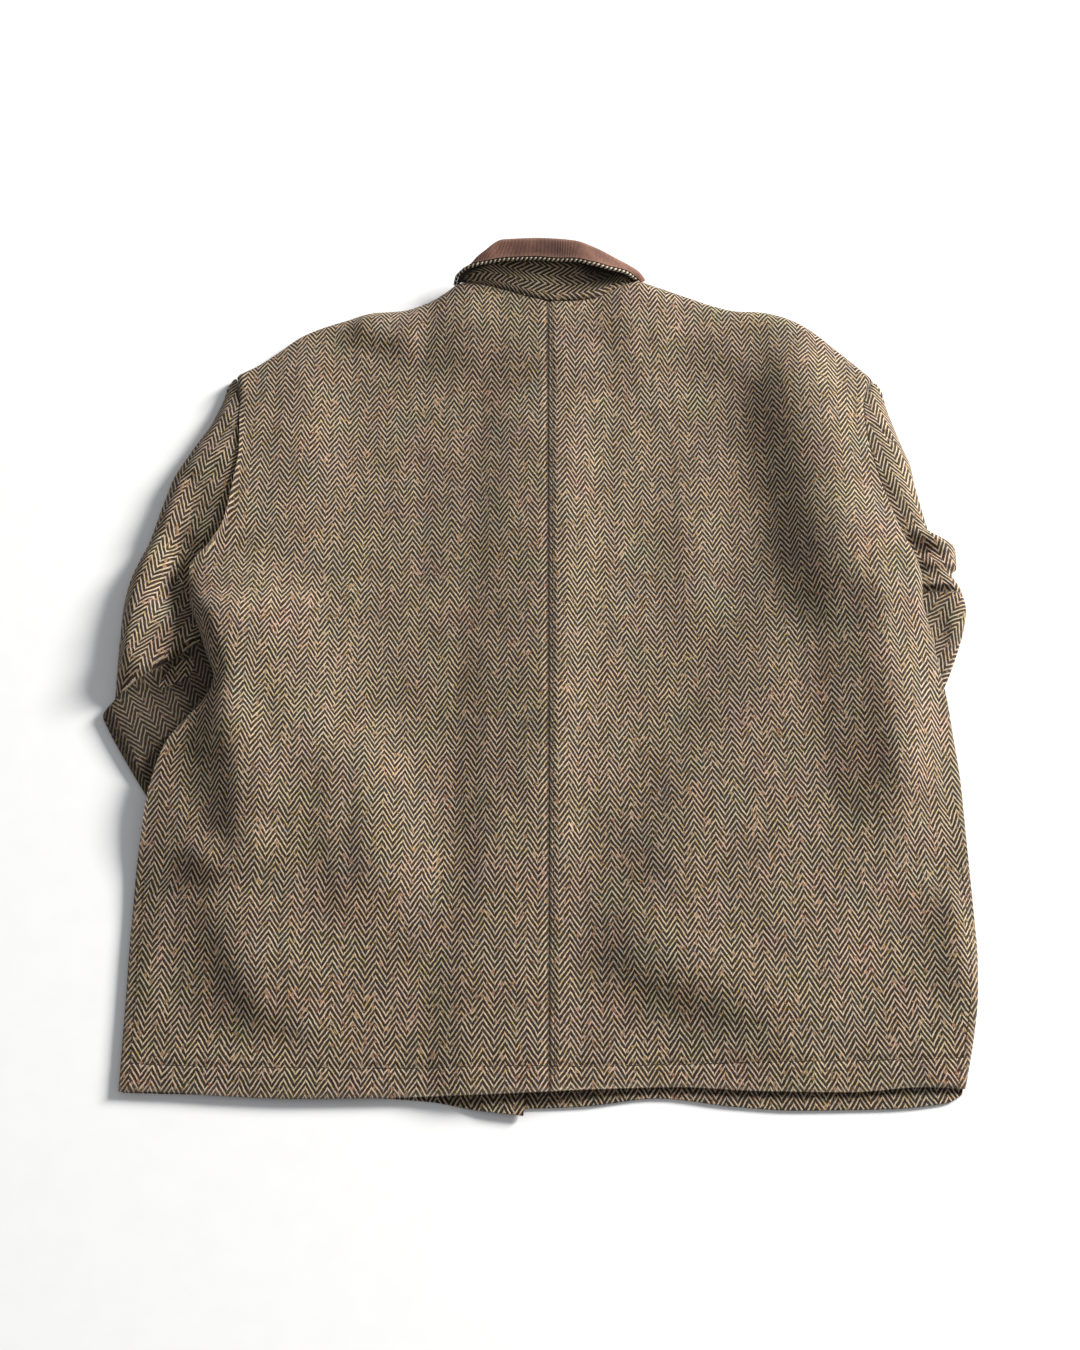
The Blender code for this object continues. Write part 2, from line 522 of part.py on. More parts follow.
def back_panel(name, side, hem, side_edge, top, below, finish):
    """Back panel from the centre back seam to the side seam, draped over what lies under it."""
    seam = side * SEAM / 2
    centre = ((seam, hem[0][1]), (seam, top[0][1]))

    def shifted(rows):
        first = (seam, *rows[0][1:])
        return (first, *rows[1:])

    hem, top = shifted(hem), shifted(top)
    grid = patch(lambda t: along(hem, t)[:, :2], lambda t: along(top, t)[:, :2],
                 lambda t: along(centre, t), lambda t: along(side_edge, t)[:, :2],
                 BODY_ACROSS, BODY_UP)
    x, y = grid[..., 0], grid[..., 1]
    z = FLAT_TOP + lifted(x, y, True)
    z = z - SEAM_DIP * fade(np.abs(x) / SEAM_DIP_WIDTH)
    for rows, places, axis in ((side_edge, BODY_UP, 0), (top, BODY_ACROSS, 1),
                               (hem, BODY_ACROSS, 1)):
        table = along(rows, places)
        table = table[:, None] if axis == 0 else table[None]
        away = np.hypot(x - table[..., 0], y - table[..., 1])
        edge = table[..., 2] * MM
        z = edge + (z - edge) * rolled(away / table[..., 3])
    z = below.settle(x, y, z - TWEED, PLY_GAP) + TWEED
    return wall(name, np.dstack([x, y, z]), finish, lean=0.0, flip=side < 0)


def front_panel(name, side, hem, side_edge, top, neckline, below, finish):
    """Front panel: flat on the surface, lifted where a sleeve lies under it."""
    inset = [(x - side * FRONT_INSET, y, edge, roll) for x, y, edge, roll in side_edge]
    inset[0] = (hem[-1][0], hem[-1][1], *inset[0][2:])
    shoulder = [(x, y - SHOULDER_INSET) for x, y, _, _ in top if abs(x) > abs(neckline[-1][0])]
    shoulder[-1] = inset[-1][:2]
    upper = (*neckline, *shoulder)
    opening = (hem[0], neckline[0])
    grid = patch(lambda t: along(hem, t), lambda t: along(upper, t),
                 lambda t: along(opening, t), lambda t: along(inset, t)[:, :2],
                 FRONT_ACROSS, FRONT_UP)
    x, y = grid[..., 0], grid[..., 1]
    z = lifted(x, y, False) - LAYER_GAP - 2 * TWEED + FLAT_TOP
    table = along(inset, FRONT_UP)[:, None]
    away = np.hypot(x - table[..., 0], y - table[..., 1])
    edge = table[..., 2] * MM - 2 * TWEED - PLY_GAP
    z = edge + (z - edge) * rolled(away / table[..., 3])
    head = along(upper, FRONT_ACROSS)[None]
    beyond = np.hypot(x - head[..., 0], y - head[..., 1])
    at_shoulder = fade((NECK_HALF_WIDTH - np.abs(x)) / NECK_HALF_WIDTH)
    z = np.maximum(z, 0.0) * (1.0 - at_shoulder * fade(beyond / SHOULDER_FALL))
    z = below.settle(x, y, z, PLY_GAP)
    return wall(name, np.dstack([x, y, z + TWEED]), finish, lean=0.0, flip=side < 0)


# ---- sleeves --------------------------------------------------------------------------------------
def sleeve_rows(head, arm, side_edge, side):
    """One row for each section: outer x, y, inner x, y, then four heights from inner to outer."""
    table = np.array(head)[::-1]
    rows = []
    for x, y, edge, _ in along(side_edge, BODY_UP)[::-1]:
        if table[0, 2] <= y <= table[-1, 2]:
            outer_x, outer_y, _, drop, a, b, c = (np.interp(y, table[:, 2], values)
                                                  for values in table.T)
            rows.append((outer_x, outer_y, x + side * ARMHOLE_GAP, y, edge - drop, a, b, c))
    return np.array(rows + list(arm))


def sleeve_top(name, side, head, arm, side_edge, finish):
    """Top piece of a sleeve: seen beside the body, creased at the elbow, then under the body."""
    sections = sleeve_rows(head, arm, side_edge, side)
    u = SLEEVE_ACROSS
    outer, inner = sections[:, None, 0:2], sections[:, None, 2:4]
    ground = inner + (outer - inner) * u[None, :, None]
    knots = np.linspace(0.0, 1.0, 4)
    crown = np.array([smooth(knots, heights, u) for heights in sections[:, 4:8]]) * MM
    width = np.linalg.norm(outer - inner, axis=2)
    roll = np.minimum(SLEEVE_ROLL, width * ROLL_SHARE)
    z = SLEEVE_FOOT + (crown - SLEEVE_FOOT) * rolled((1 - u)[None] * width / roll)
    return wall(name, np.dstack([ground, z]), finish, lean=(u**2)[None], flip=side > 0)


SLEEVE_ACROSS = edged(7, 0.16, 4)


def folded_pack(name, rows, finish):
    """Hidden folded layers as one rounded solid, its edge split into two layers."""
    edge_shape = ((LIP, 0.0), (0.0, 0.22), (0.7 * LIP, 0.5), (0.0, 0.78), (LIP, 1.0))
    loops = []
    shape = bmesh.new()
    for outer_x, outer_y, inner_x, inner_y, height_mm in rows:
        start, end = np.array((inner_x, inner_y)), np.array((outer_x, outer_y))
        width = np.linalg.norm(end - start)
        unit = (end - start) / width
        ring = [(*(start + unit * inset), share * height_mm * MM) for inset, share in edge_shape]
        ring += [(*(start + unit * width * share), height_mm * MM) for share in (0.3, 0.6)]
        ring += [(*(end - unit * inset), share * height_mm * MM)
                 for inset, share in reversed(edge_shape)]
        loops.append([shape.verts.new(point) for point in ring])
    for low, high in zip(loops, loops[1:]):
        for at in range(len(low)):
            after = (at + 1) % len(low)
            shape.faces.new((low[at], low[after], high[after], high[at]))
    shape.faces.new(loops[0])
    shape.faces.new(loops[-1])
    bmesh.ops.recalc_face_normals(shape, faces=shape.faces)
    return add_object(name, shape, finish)


# ---- collar ---------------------------------------------------------------------------------------


def collar_grid(stations):
    """Middle surface between the collar's plies, from the neck seam over the fold to the edge."""
    table = np.array(COLLAR)
    table[:, 2::3] *= MM
    grid = []
    for row in along(table, np.linspace(0, 1, stations), by_length=False):
        seam, fold, edge = row[0:3], row[3:6], row[6:9]
        up, out = fold - seam, edge - fold
        stand, fall = np.linalg.norm(up), np.linalg.norm(out)
        up, out = up / stand, out / fall
        half_turn = np.arccos(np.clip(up @ out, -1.0, 1.0)) / 2
        radius = min(FOLD_RADIUS, 0.8 * min(stand, fall) / math.tan(half_turn))
        reach = radius * math.tan(half_turn)
        inward = (out - up) / np.linalg.norm(out - up)
        centre = fold + inward * radius / math.cos(half_turn)
        start, end = fold - up * reach, fold + out * reach
        line = [seam + (start - seam) * t for t in np.linspace(0, 1, STAND_STEPS + 1)[:-1]]
        for angle in np.linspace(-half_turn, half_turn, FOLD_STEPS + 1):
            across = (up + out) / np.linalg.norm(up + out)
            line.append(centre + radius * (across * math.sin(angle) - inward * math.cos(angle)))
        line += [end + (edge - end) * t for t in np.linspace(0, 1, FALL_STEPS + 1)[1:]]
        grid.append(line)
    return np.array(grid)


def collar(tweed, cord, piping):
    grid = collar_grid(COLLAR_STATIONS)
    reverse = grid[:, ::-1]
    wall("collar_under", reverse, tweed, thickness=COLLAR_PLY, shift=COLLAR_PLY + PLY_GAP / 2)
    wall("collar_top", grid, cord, thickness=COLLAR_PLY, shift=COLLAR_PLY + PLY_GAP / 2)
    edge, before = grid[:, -1], grid[:, -2]
    heading = np.gradient(edge, axis=0)
    heading /= np.linalg.norm(heading, axis=1)[:, None]
    out = edge - before
    out -= heading * (out * heading).sum(axis=1)[:, None]
    out /= np.linalg.norm(out, axis=1)[:, None]
    line = edge + out * (PIPING_RADIUS + PIPING_GAP)
    line[:, 2] = np.maximum(line[:, 2], PIPING_RADIUS + SEAM)
    tube("collar_piping", line, PIPING_RADIUS, piping)


def tube(name, line, radius, finish, sides=8):
    """A round cord along a line, closed at both ends."""
    cord = bmesh.new()
    heading = np.gradient(line, axis=0)
    heading /= np.linalg.norm(heading, axis=1)[:, None]
    aside = np.cross(heading[0], (0.0, 0.0, 1.0))
    rings = []
    for point, ahead in zip(line, heading):
        aside = aside - ahead * (aside @ ahead)
        aside /= np.linalg.norm(aside)
        above = np.cross(ahead, aside)
        angles = [2 * math.pi * side / sides for side in range(sides)]
        rings.append([cord.verts.new(point + radius * (aside * math.cos(a) + above * math.sin(a)))
                      for a in angles])
    for low, high in zip(rings, rings[1:]):
        for at in range(sides):
            after = (at + 1) % sides
            cord.faces.new((low[at], low[after], high[after], high[at]))
    cord.faces.new(rings[0])
    cord.faces.new(rings[-1])
    bmesh.ops.recalc_face_normals(cord, faces=cord.faces)
    return add_object(name, cord, finish)


# ---- buttons --------------------------------------------------------------------------------------
def button(number, below, finish):
    """A flat disc on the right front, on the line where the fronts fasten."""
    y = BUTTON_TOP_Y - number * BUTTON_STEP
    share = (y - LAP_FOOT[1]) / (LAP_HEAD[1] - LAP_FOOT[1])
    x = LAP_FOOT[0] + share * (LAP_HEAD[0] - LAP_FOOT[0])
    angles = np.linspace(0.0, 2 * math.pi, 12)
    around = np.array([(x, y)] + [(x + BUTTON_RADIUS * math.cos(angle),
                                   y + BUTTON_RADIUS * math.sin(angle)) for angle in angles])
    rest = below.read(around[:, 0], around[:, 1]).max()
    disc = bmesh.new()
    bmesh.ops.create_cone(disc, cap_ends=True, segments=16, radius1=BUTTON_RADIUS,
                          radius2=BUTTON_RADIUS, depth=BUTTON_THICK)
    bmesh.ops.translate(disc, verts=disc.verts, vec=(x, y, rest + SEAM + BUTTON_THICK / 2))
    return add_object(f"button_{number + 1}", disc, finish)


def main():
    tidy_scene()
    tweed = material("herringbone tweed", (0.19, 0.15, 0.11), 0.92)
    cord = material("brown cord cloth", (0.23, 0.12, 0.09), 0.85)
    piping = material("twisted piping", (0.30, 0.25, 0.19), 0.8)
    horn = material("dark horn", (0.05, 0.03, 0.02), 0.35)
    laid = Layers()
    laid.add(folded_pack("sleeve_left_under", PACK_LEFT, tweed))
    laid.add(folded_pack("sleeve_right_under", PACK_RIGHT, tweed))
    laid.add(folded_pack("collar_leaf_left", LEAF_LEFT, cord))
    laid.add(folded_pack("collar_leaf_right", LEAF_RIGHT, cord))
    for sleeve in (sleeve_top("sleeve_left_top", -1, HEAD_LEFT, ARM_LEFT, SIDE_LEFT, tweed),
                   sleeve_top("sleeve_right_top", 1, HEAD_RIGHT, ARM_RIGHT, SIDE_RIGHT, tweed)):
        laid.add(sleeve, TUCKED_BELOW_Y, TUCKED_TOP)
    laid.add(front_panel("front_right", 1, FRONT_HEM_RIGHT, SIDE_RIGHT, TOP_RIGHT,
                         NECKLINE_RIGHT, laid, tweed))
    for disc in [button(number, laid, horn) for number in range(BUTTON_COUNT)]:
        laid.add(disc)
    laid.add(front_panel("front_left", -1, FRONT_HEM_LEFT, SIDE_LEFT, TOP_LEFT,
                         NECKLINE_LEFT, laid, tweed))
    back_panel("back_left", -1, HEM_LEFT, SIDE_LEFT, TOP_LEFT, laid, tweed)
    back_panel("back_right", 1, HEM_RIGHT, SIDE_RIGHT, TOP_RIGHT, laid, tweed)
    collar(tweed, cord, piping)


main()
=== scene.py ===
"""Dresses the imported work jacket: herringbone tweed, a cord collar with twisted piping, stitches,
folds and creases, a plain floor, soft light and the camera. Run it in Blender 4.5.

X runs across the jacket, Y from the hem towards the collar, Z up, all in metres. The tables are in
millimetres: in_metres turns their places and widths into metres and leaves heights as they are.
"""
# %% [markdown]
# The jacket lies face down on a plain surface. Its solids come first, as the fixed frame that every
# piece of cloth is fitted to. Working from a frame keeps the real sizes: a fold may be finer than
# the solid's, but no panel may grow. The box of the solids is kept, to print again at the end.

import math

import bmesh
import bpy
import numpy as np
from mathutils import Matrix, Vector, noise
from mathutils.bvhtree import BVHTree


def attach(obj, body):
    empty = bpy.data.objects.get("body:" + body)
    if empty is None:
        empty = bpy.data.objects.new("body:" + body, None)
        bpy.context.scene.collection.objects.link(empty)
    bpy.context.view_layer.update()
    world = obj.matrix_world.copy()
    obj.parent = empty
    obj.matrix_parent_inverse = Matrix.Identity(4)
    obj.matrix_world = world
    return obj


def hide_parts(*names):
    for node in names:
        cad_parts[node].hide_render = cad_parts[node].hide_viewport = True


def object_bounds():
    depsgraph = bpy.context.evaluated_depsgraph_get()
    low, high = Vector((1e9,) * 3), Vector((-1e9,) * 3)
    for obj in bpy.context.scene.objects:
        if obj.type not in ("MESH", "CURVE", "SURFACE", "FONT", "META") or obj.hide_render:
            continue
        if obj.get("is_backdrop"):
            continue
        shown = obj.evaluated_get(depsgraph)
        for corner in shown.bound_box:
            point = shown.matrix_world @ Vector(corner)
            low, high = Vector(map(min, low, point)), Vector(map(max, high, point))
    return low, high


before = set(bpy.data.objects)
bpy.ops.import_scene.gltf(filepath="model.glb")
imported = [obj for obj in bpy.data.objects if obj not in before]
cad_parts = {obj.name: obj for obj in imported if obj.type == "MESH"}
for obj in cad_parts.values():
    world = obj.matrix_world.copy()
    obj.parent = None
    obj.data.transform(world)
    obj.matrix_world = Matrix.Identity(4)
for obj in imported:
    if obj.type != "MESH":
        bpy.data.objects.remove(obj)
solid_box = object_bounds()
print("solids", [tuple(round(c, 4) for c in corner) for corner in solid_box])

MM = 0.001

# %% [markdown]
# Cloth has a thickness, and so has every gap between two layers. A heavy jacket tweed is a little
# over two millimetres thick with its pressed-open seams, a collar ply less. These few numbers are
# named once, because every panel below uses them.

# %% Thicknesses and gaps
TWEED = 2.2 * MM            # wall of every tweed panel
COLLAR_PLY = 1.6 * MM       # wall of each of the collar's two plies
SEAM = 0.3 * MM             # gap between pieces at a seam
PLY_GAP = 0.6 * MM          # gap between layers that touch
LAYER_GAP = 2.3 * MM        # slack air between the back and the fronts
FLAT_TOP = 6.4 * MM         # top of the back where only back and front lie on the surface
SEAM_DIP = 0.9 * MM         # the back's pieces turn down into the centre seam
SEAM_DIP_WIDTH = 0.007
print("tweed", TWEED / MM, "mm")

# %% [markdown]
# The relief of the back is a sum of strips, one for each thing underneath: two folded forearms, two
# upper arms, the shoulders, the lap of the fronts. A simulation could find such a drape, but it
# would find another one, and here the folds have to lie where the real ones lie. A sum of soft
# strips is quick and exact, and each row can be read as a sentence.

# %% What lifts the cloth, and the outlines of the panels
def in_metres(rows, lengths=(0, 1, 2, 3)):
    """A table in millimetres with its columns of places and widths turned into metres."""
    return [tuple(value / 1000 if column in lengths else value
                  for column, value in enumerate(row)) for row in rows]


# Each row is a strip from (x0, y0) to (x1, y1), lifted over half_width to each side and fading
# over blend. both = 1 lifts fronts and back, 0 the back alone.
# Columns: x0, y0, x1, y1, half_width, lift, blend, both
LIFTS = {
    "left forearm": (-311, 2, -184, -226, 52, 9.8, 88, 1),
    "left upper arm": (-262, 280, -285, 60, 22, 10, 75, 1),
    "right forearm": (300, 80, 134, -257, 52, 9.8, 88, 1),
    "right upper arm": (262, 270, 290, 100, 30, 9.5, 75, 1),
    "neck": (-55, 385, 55, 385, 20, 13, 90, 1),
    "left shoulder": (-220, 335, -100, 370, 12, 5, 60, 1),
    "right shoulder": (100, 375, 225, 345, 12, 5, 60, 1),
    "left side ridge, upper": (-290, 40, -268, -60, 4, 5, 34, 1),
    "left side ridge, lower": (-268, -60, -249, -135, 4, 4, 34, 1),
    "right side ridge": (298, 60, 301, -100, 4, 3.5, 32, 1),
    "right ridge": (222, 300, 274, -100, 4, 5, 50, 1),
    "ridge beside the left cuff": (-140, -90, -130, -190, 5, 3, 30, 1),
    "lap of the fronts": (-40, -378, -2, 311, 24, 4.6, 40, 0),
    "centre back seam": (0, 370, 0, -100, 2, 1.6, 45, 0),
    "right side trough": (260, 60, 266, -110, 3, -1.7, 24, 0),
    "mid left trough": (-178, -40, -172, -190, 3, -1.7, 20, 0),
}

# Outlines of the back, a row for each place where the edge turns. The height is that of the
# cloth's top at the edge, and roll is the width over which it bends down.
# Columns: x, y, height, roll
SIDE_LEFT = in_metres((
    (-334, -364, 5.2, 12), (-335, -292, 5.2, 20), (-336, -233, 5.2, 22), (-336, -185, 6.6, 24),
    (-334, -150, 11.5, 30), (-332, -121, 14.2, 38), (-328, -98, 15.2, 42), (-321, -73, 15.6, 45),
    (-306, -50, 16, 40), (-291, -31, 16.2, 30), (-284, -12, 16.6, 22), (-292, 12, 17, 18),
    (-301, 38, 17.5, 14), (-310, 64, 18, 12), (-312, 94, 18.6, 10), (-297, 118, 19.2, 8),
    (-286, 140, 19.6, 6), (-280, 181, 19.8, 6), (-277, 213, 19.4, 6), (-279, 250, 17.8, 6),
    (-282, 280, 13, 6), (-286, 303, 7, 6),
), (0, 1, 3))
SIDE_RIGHT = in_metres((
    (322, -362, 5.2, 12), (333, -318, 5.2, 16), (339, -285, 5.2, 20), (342, -240, 5.2, 24),
    (342, -172, 5.2, 26), (342, -110, 5.6, 28), (339, -60, 7.5, 30), (336, -30, 12.5, 28),
    (331, 4, 15, 22), (327, 36, 15.4, 18), (323, 66, 15.8, 14), (324, 86, 16.2, 12),
    (320, 106, 16.8, 10), (310, 130, 17.6, 8), (303, 155, 18.2, 6), (294, 190, 18.2, 6),
    (287, 232, 17.4, 6), (286, 262, 14.5, 6), (290, 284, 10, 6), (298, 298, 7, 6),
), (0, 1, 3))
TOP_LEFT = in_metres((
    (0, 381, 20, 6), (-15, 385, 20, 6), (-37, 394, 19.4, 6), (-51, 399, 18.5, 6),
    (-66, 403, 16.5, 7), (-82, 406, 12, 10), (-96, 398, 7, 16), (-112, 388, 5.8, 20),
    (-137, 379, 5.4, 22), (-166, 376, 5.4, 22), (-189, 368, 5.4, 20), (-212, 359, 5.4, 18),
    (-230, 349, 5.6, 16), (-250, 331, 5.8, 12), (-268, 316, 5.4, 8), (-286, 303, 7, 4),
), (0, 1, 3))
TOP_RIGHT = in_metres((
    (0, 381, 20, 6), (20, 381, 19.8, 6), (42, 385, 19, 6), (58, 393, 17.5, 6), (72, 402, 15, 7),
    (86, 408, 11.5, 10), (102, 405, 7, 16), (128, 396, 5.6, 20), (158, 384, 5.4, 22),
    (177, 379, 5.4, 22), (196, 378, 5.4, 20), (219, 372, 5.4, 18), (241, 359, 5.6, 16),
    (264, 337, 5.8, 12), (284, 316, 5.6, 8), (298, 298, 7, 4),
), (0, 1, 3))
HEM_LEFT = in_metres((
    (0, -365.5, 11, 4), (-54, -368, 11, 4), (-116, -369, 5.9, 4), (-193, -370, 5.9, 4),
    (-247, -368, 5.9, 4), (-294, -365, 5.9, 4), (-334, -364, 5.2, 4),
), (0, 1, 3))
HEM_RIGHT = in_metres((
    (0, -365.5, 11, 4), (39, -363, 8, 4), (101, -361, 5.9, 4), (162, -364, 5.9, 4),
    (232, -365, 5.9, 4), (290, -361, 5.9, 4), (322, -362, 5.2, 4),
), (0, 1, 3))

# Outlines of the fronts. Columns: x, y
FRONT_HEM_LEFT = in_metres((
    (-20.5, -383), (-53, -379), (-96, -371), (-180, -366.5), (-297, -365), (-331.5, -364),
))
FRONT_HEM_RIGHT = in_metres((
    (-60, -370), (-19, -376.5), (24, -375), (84, -368.5), (142, -375), (190, -378), (260, -377),
    (308, -372), (319.5, -366),
))
NECKLINE_LEFT = in_metres((
    (15, 312), (-12, 310), (-45, 320), (-68, 345), (-80, 378), (-85, 398),
))
NECKLINE_RIGHT = in_metres((
    (-20, 312), (10, 309), (45, 320), (68, 345), (81, 378), (88, 400),
))
FRONT_INSET = 4.5 * MM              # the fronts' edges lie this far inside the back's
NECK_HALF_WIDTH = 0.08
SHOULDER_FALL = 0.03                # the fronts come down to the surface over this width

print(len(LIFTS), "lifts")

# %% [markdown]
# Each sleeve is two things: the piece that shows, which runs from the armhole over a crease at the
# elbow and then under the body, and the folded layers below it. Sections from the inner to the
# outer edge give its shape, a row each, because a sleeve is drafted and felt as sections too.

# %% Tables of the sleeves
# Rows where the sleeve is sewn to the armhole. drop is how far it lies below the back there, and
# a, b and c are heights of the sleeve's top a third, two thirds and all the way out.
# Columns: outer_x, outer_y, seam_y, drop, a, b, c
HEAD_LEFT = in_metres((
    (-290, 303.5, 301, 0, 6.8, 6.5, 6.2), (-295, 295, 293.5, 0, 8.6, 8.6, 7.8),
    (-297.5, 280, 280, 0, 12.5, 12, 10.5), (-307.5, 251, 252, 0, 17.5, 16.5, 13.5),
    (-321, 227, 223, 0, 19.5, 18, 14), (-336.5, 196, 193, 0.3, 20, 19, 15),
    (-345.5, 160, 162, 1, 19.5, 19, 15), (-352.5, 127, 138, 3.5, 17, 19, 16),
    (-361.5, 104, 120, 6.5, 14, 18.5, 16),
), (0, 1, 2))
HEAD_RIGHT = in_metres((
    (302, 299, 296.5, 0, 6.8, 6.5, 6.2), (306.5, 290, 288, 0, 9, 8.4, 7.4),
    (309.5, 270, 268, 0, 13, 11, 8), (317.5, 239, 238, 0, 16.5, 14, 9.5),
    (326, 211, 208, 0, 17.8, 15, 10), (329, 184, 180, 0, 17.8, 15.5, 10),
    (334.5, 151, 152, 1.6, 16.8, 15.5, 10.5), (337.5, 137, 134, 4.2, 14.4, 15, 12),
), (0, 1, 2))
# Rows below the underarm, where the sleeve slips under the body. The elbow's crease is the pair of
# rows that lie a few millimetres apart.
# Columns: outer_x, outer_y, inner_x, inner_y, height at the inner edge, a, b, c
ARM_LEFT = in_metres((
    (-367, 83, -286, 112, 11.5, 12, 18.5, 17), (-369.5, 56, -279, 97, 10.5, 11.5, 18, 17),
    (-369.5, 28, -274, 83, 10, 11, 17.5, 16.5), (-369, -4, -270, 70, 9.8, 10.5, 17, 16),
    (-368.5, -23, -267, 60, 9.5, 10.5, 16, 12), (-370.5, -29, -264, 55, 8.6, 9, 9, 10),
    (-377.5, -40, -245, 42, 8.6, 9, 9, 9.4), (-372, -52.5, -233, 26, 8.6, 9, 9, 9),
    (-357.5, -77.5, -216, -1, 8.6, 9, 9, 8.8), (-341.5, -103, -201, -25, 8.6, 9, 9, 8),
    (-326, -127, -188, -47, 8.6, 9, 9, 7.5), (-298, -174, -163, -95, 8.6, 9, 9, 7.5),
    (-264, -229, -139, -153, 8.6, 9, 9, 7.5), (-244, -261, -123, -190, 8.6, 9, 9, 7.5),
))
ARM_RIGHT = in_metres((
    (358.5, 122, 296, 120, 10, 10.8, 15, 14), (358, 104, 290, 102, 9.8, 10.4, 15, 14),
    (353, 97, 286, 93, 9.5, 10, 12.5, 11), (359, 83, 282, 83, 9.5, 10, 14, 12.5),
    (361, 76, 278, 78, 8.8, 9, 9, 9.2), (362.5, 64, 260, 74, 8.6, 9, 9, 9),
    (358.5, 42, 242, 70, 8.6, 9, 9, 8.8), (352.5, 24, 226, 66, 8.6, 9, 9, 8.4),
    (344, 2, 212, 58, 8.6, 9, 9, 8), (334, -20, 200, 45, 8.6, 9, 9, 7.5),
    (308, -76, 174, -11, 8.6, 9, 9, 7.5), (265, -159, 133, -94, 8.6, 9, 9, 7.5),
    (225, -236, 96, -173, 8.6, 9, 9, 7.5), (198, -288, 70, -226, 8.6, 9, 9, 7.5),
))
SLEEVE_FOOT = 1.8 * MM      # the sleeve's outer edge comes down to this height
SLEEVE_ROLL = 0.015
TUCKED_BELOW_Y = 0.160      # below this the sleeve's top lies under the body
TUCKED_TOP = 12.5 * MM
# The hidden folded layers of each sleeve, one solid: a row for each section.
# Columns: outer_x, outer_y, inner_x, inner_y, height
PACK_LEFT = in_metres((
    (-297, 235, -262, 235, 7), (-322, 190, -235, 190, 9), (-334, 130, -222, 130, 8),
    (-350, 85, -218, 95, 6.2), (-353, 30, -226, 70, 6), (-350, -30, -238, 36, 5.6),
    (-325, -92, -214, -28, 5.6), (-284, -162, -176, -98, 5.6), (-236, -246, -138, -188, 5.6),
))
PACK_RIGHT = in_metres((
    (303, 235, 268, 235, 7), (313, 190, 230, 190, 9), (320, 140, 210, 140, 7),
    (338, 100, 214, 106, 6), (346, 55, 220, 78, 5.6), (330, 0, 216, 50, 5.6),
    (292, -76, 188, -26, 5.6), (250, -158, 148, -106, 5.6), (187, -274, 88, -224, 5.6),
))

# %% [markdown]
# The collar stands up behind the neck and falls open again. Three points give each station round
# the neck: where it is sewn, where it folds and where it ends.

# %% Table of the collar
# A row for each station round the neck: the neck seam, the fold and the free edge of the fall.
# Columns: seam_x, seam_y, seam height, fold_x, fold_y, fold height, edge_x, edge_y, edge height
COLLAR = in_metres((
    (-74.5, 408.5, 11.5, -82.4, 408.6, 12, -86.2, 407, 9),
    (-69, 407, 14.6, -80.6, 410, 16.6, -84.4, 410.5, 16),
    (-62, 405, 16, -75.3, 411.5, 21.8, -79.3, 412.2, 22.4),
    (-54, 403, 16.8, -68, 416.5, 27.8, -73, 414, 28.6),
    (-48.5, 401, 17.1, -63, 422.2, 31, -66.5, 415.2, 32.2),
    (-43, 399, 17.3, -56.5, 427.5, 33.4, -56, 416.8, 33.8),
    (-31, 394.5, 17.8, -40.5, 437, 37, -39.2, 418, 36.2),
    (-12, 387.5, 18.3, -15, 437, 38.6, -15.1, 418.2, 37.6),
    (8, 384.5, 18.4, 6.2, 435.8, 38.6, 6.2, 416.2, 38),
    (25, 385, 18.2, 25, 433.8, 38, 27.5, 414.1, 39.5),
    (42, 388.4, 17.6, 42.5, 428.2, 34.8, 42, 409.9, 39.4),
    (56, 395.5, 16.2, 57.1, 422.8, 30.2, 58, 407.8, 35),
    (67, 403, 14.4, 71.5, 417.8, 24.8, 73, 408.5, 28),
    (75, 407.5, 12.4, 83.6, 414, 18, 80.6, 409.2, 20.8),
    (80, 409.5, 10.6, 89, 410.4, 12.4, 87.2, 406.2, 14.4),
), (0, 1, 3, 4, 6, 7))
# The collar's front leaves, folded flat under the fronts along the neckline. Columns as in PACK.
LEAF_LEFT = in_metres((
    (-32, 270, -28, 322, 4), (-70, 284, -46, 331, 4), (-102, 316, -64, 350, 4),
    (-106, 352, -72, 376, 4), (-98, 376, -73, 394, 4),
))
LEAF_RIGHT = in_metres((
    (34, 270, 30, 322, 4), (71, 284, 47, 331, 4), (103, 316, 65, 350, 4), (108, 352, 73, 376, 4),
    (100, 378, 74, 396, 4),
))

# %% [markdown]
# Tables have to be read smoothly. A cubic through the rows that never swings past a row keeps an
# edge from bulging between two points, which a plain spline would do. A Coons patch then fills the
# panel between its four edges, so the grid of the cloth follows the real outline.

# %% Curves and heights
def monotone_slopes(knots, values):
    """Slopes for a cubic through the rows that never swings past them."""
    steps = np.diff(knots)[:, None]
    chords = np.diff(values, axis=0) / steps
    slopes = np.zeros_like(values)
    slopes[0], slopes[-1] = chords[0], chords[-1]
    before, after = chords[:-1], chords[1:]
    same_way = before * after > 0
    total = np.where(same_way, before + after, 1.0)
    slopes[1:-1] = np.where(same_way, 2 * before * after / total, 0.0)
    return slopes


def smooth(knots, values, places):
    """A smooth curve through values at knots, read at places."""
    values = np.asarray(values, dtype=float).reshape(len(knots), -1)
    slopes = monotone_slopes(knots, values)
    left = np.clip(np.searchsorted(knots, places, side="right") - 1, 0, len(knots) - 2)
    width = (knots[left + 1] - knots[left])[:, None]
    t = (places[:, None] - knots[left][:, None]) / width
    start, end = values[left], values[left + 1]
    curve = ((2 * t**3 - 3 * t**2 + 1) * start + (t**3 - 2 * t**2 + t) * width * slopes[left]
             + (3 * t**2 - 2 * t**3) * end + (t**3 - t**2) * width * slopes[left + 1])
    return curve.squeeze(1) if curve.shape[1] == 1 else curve


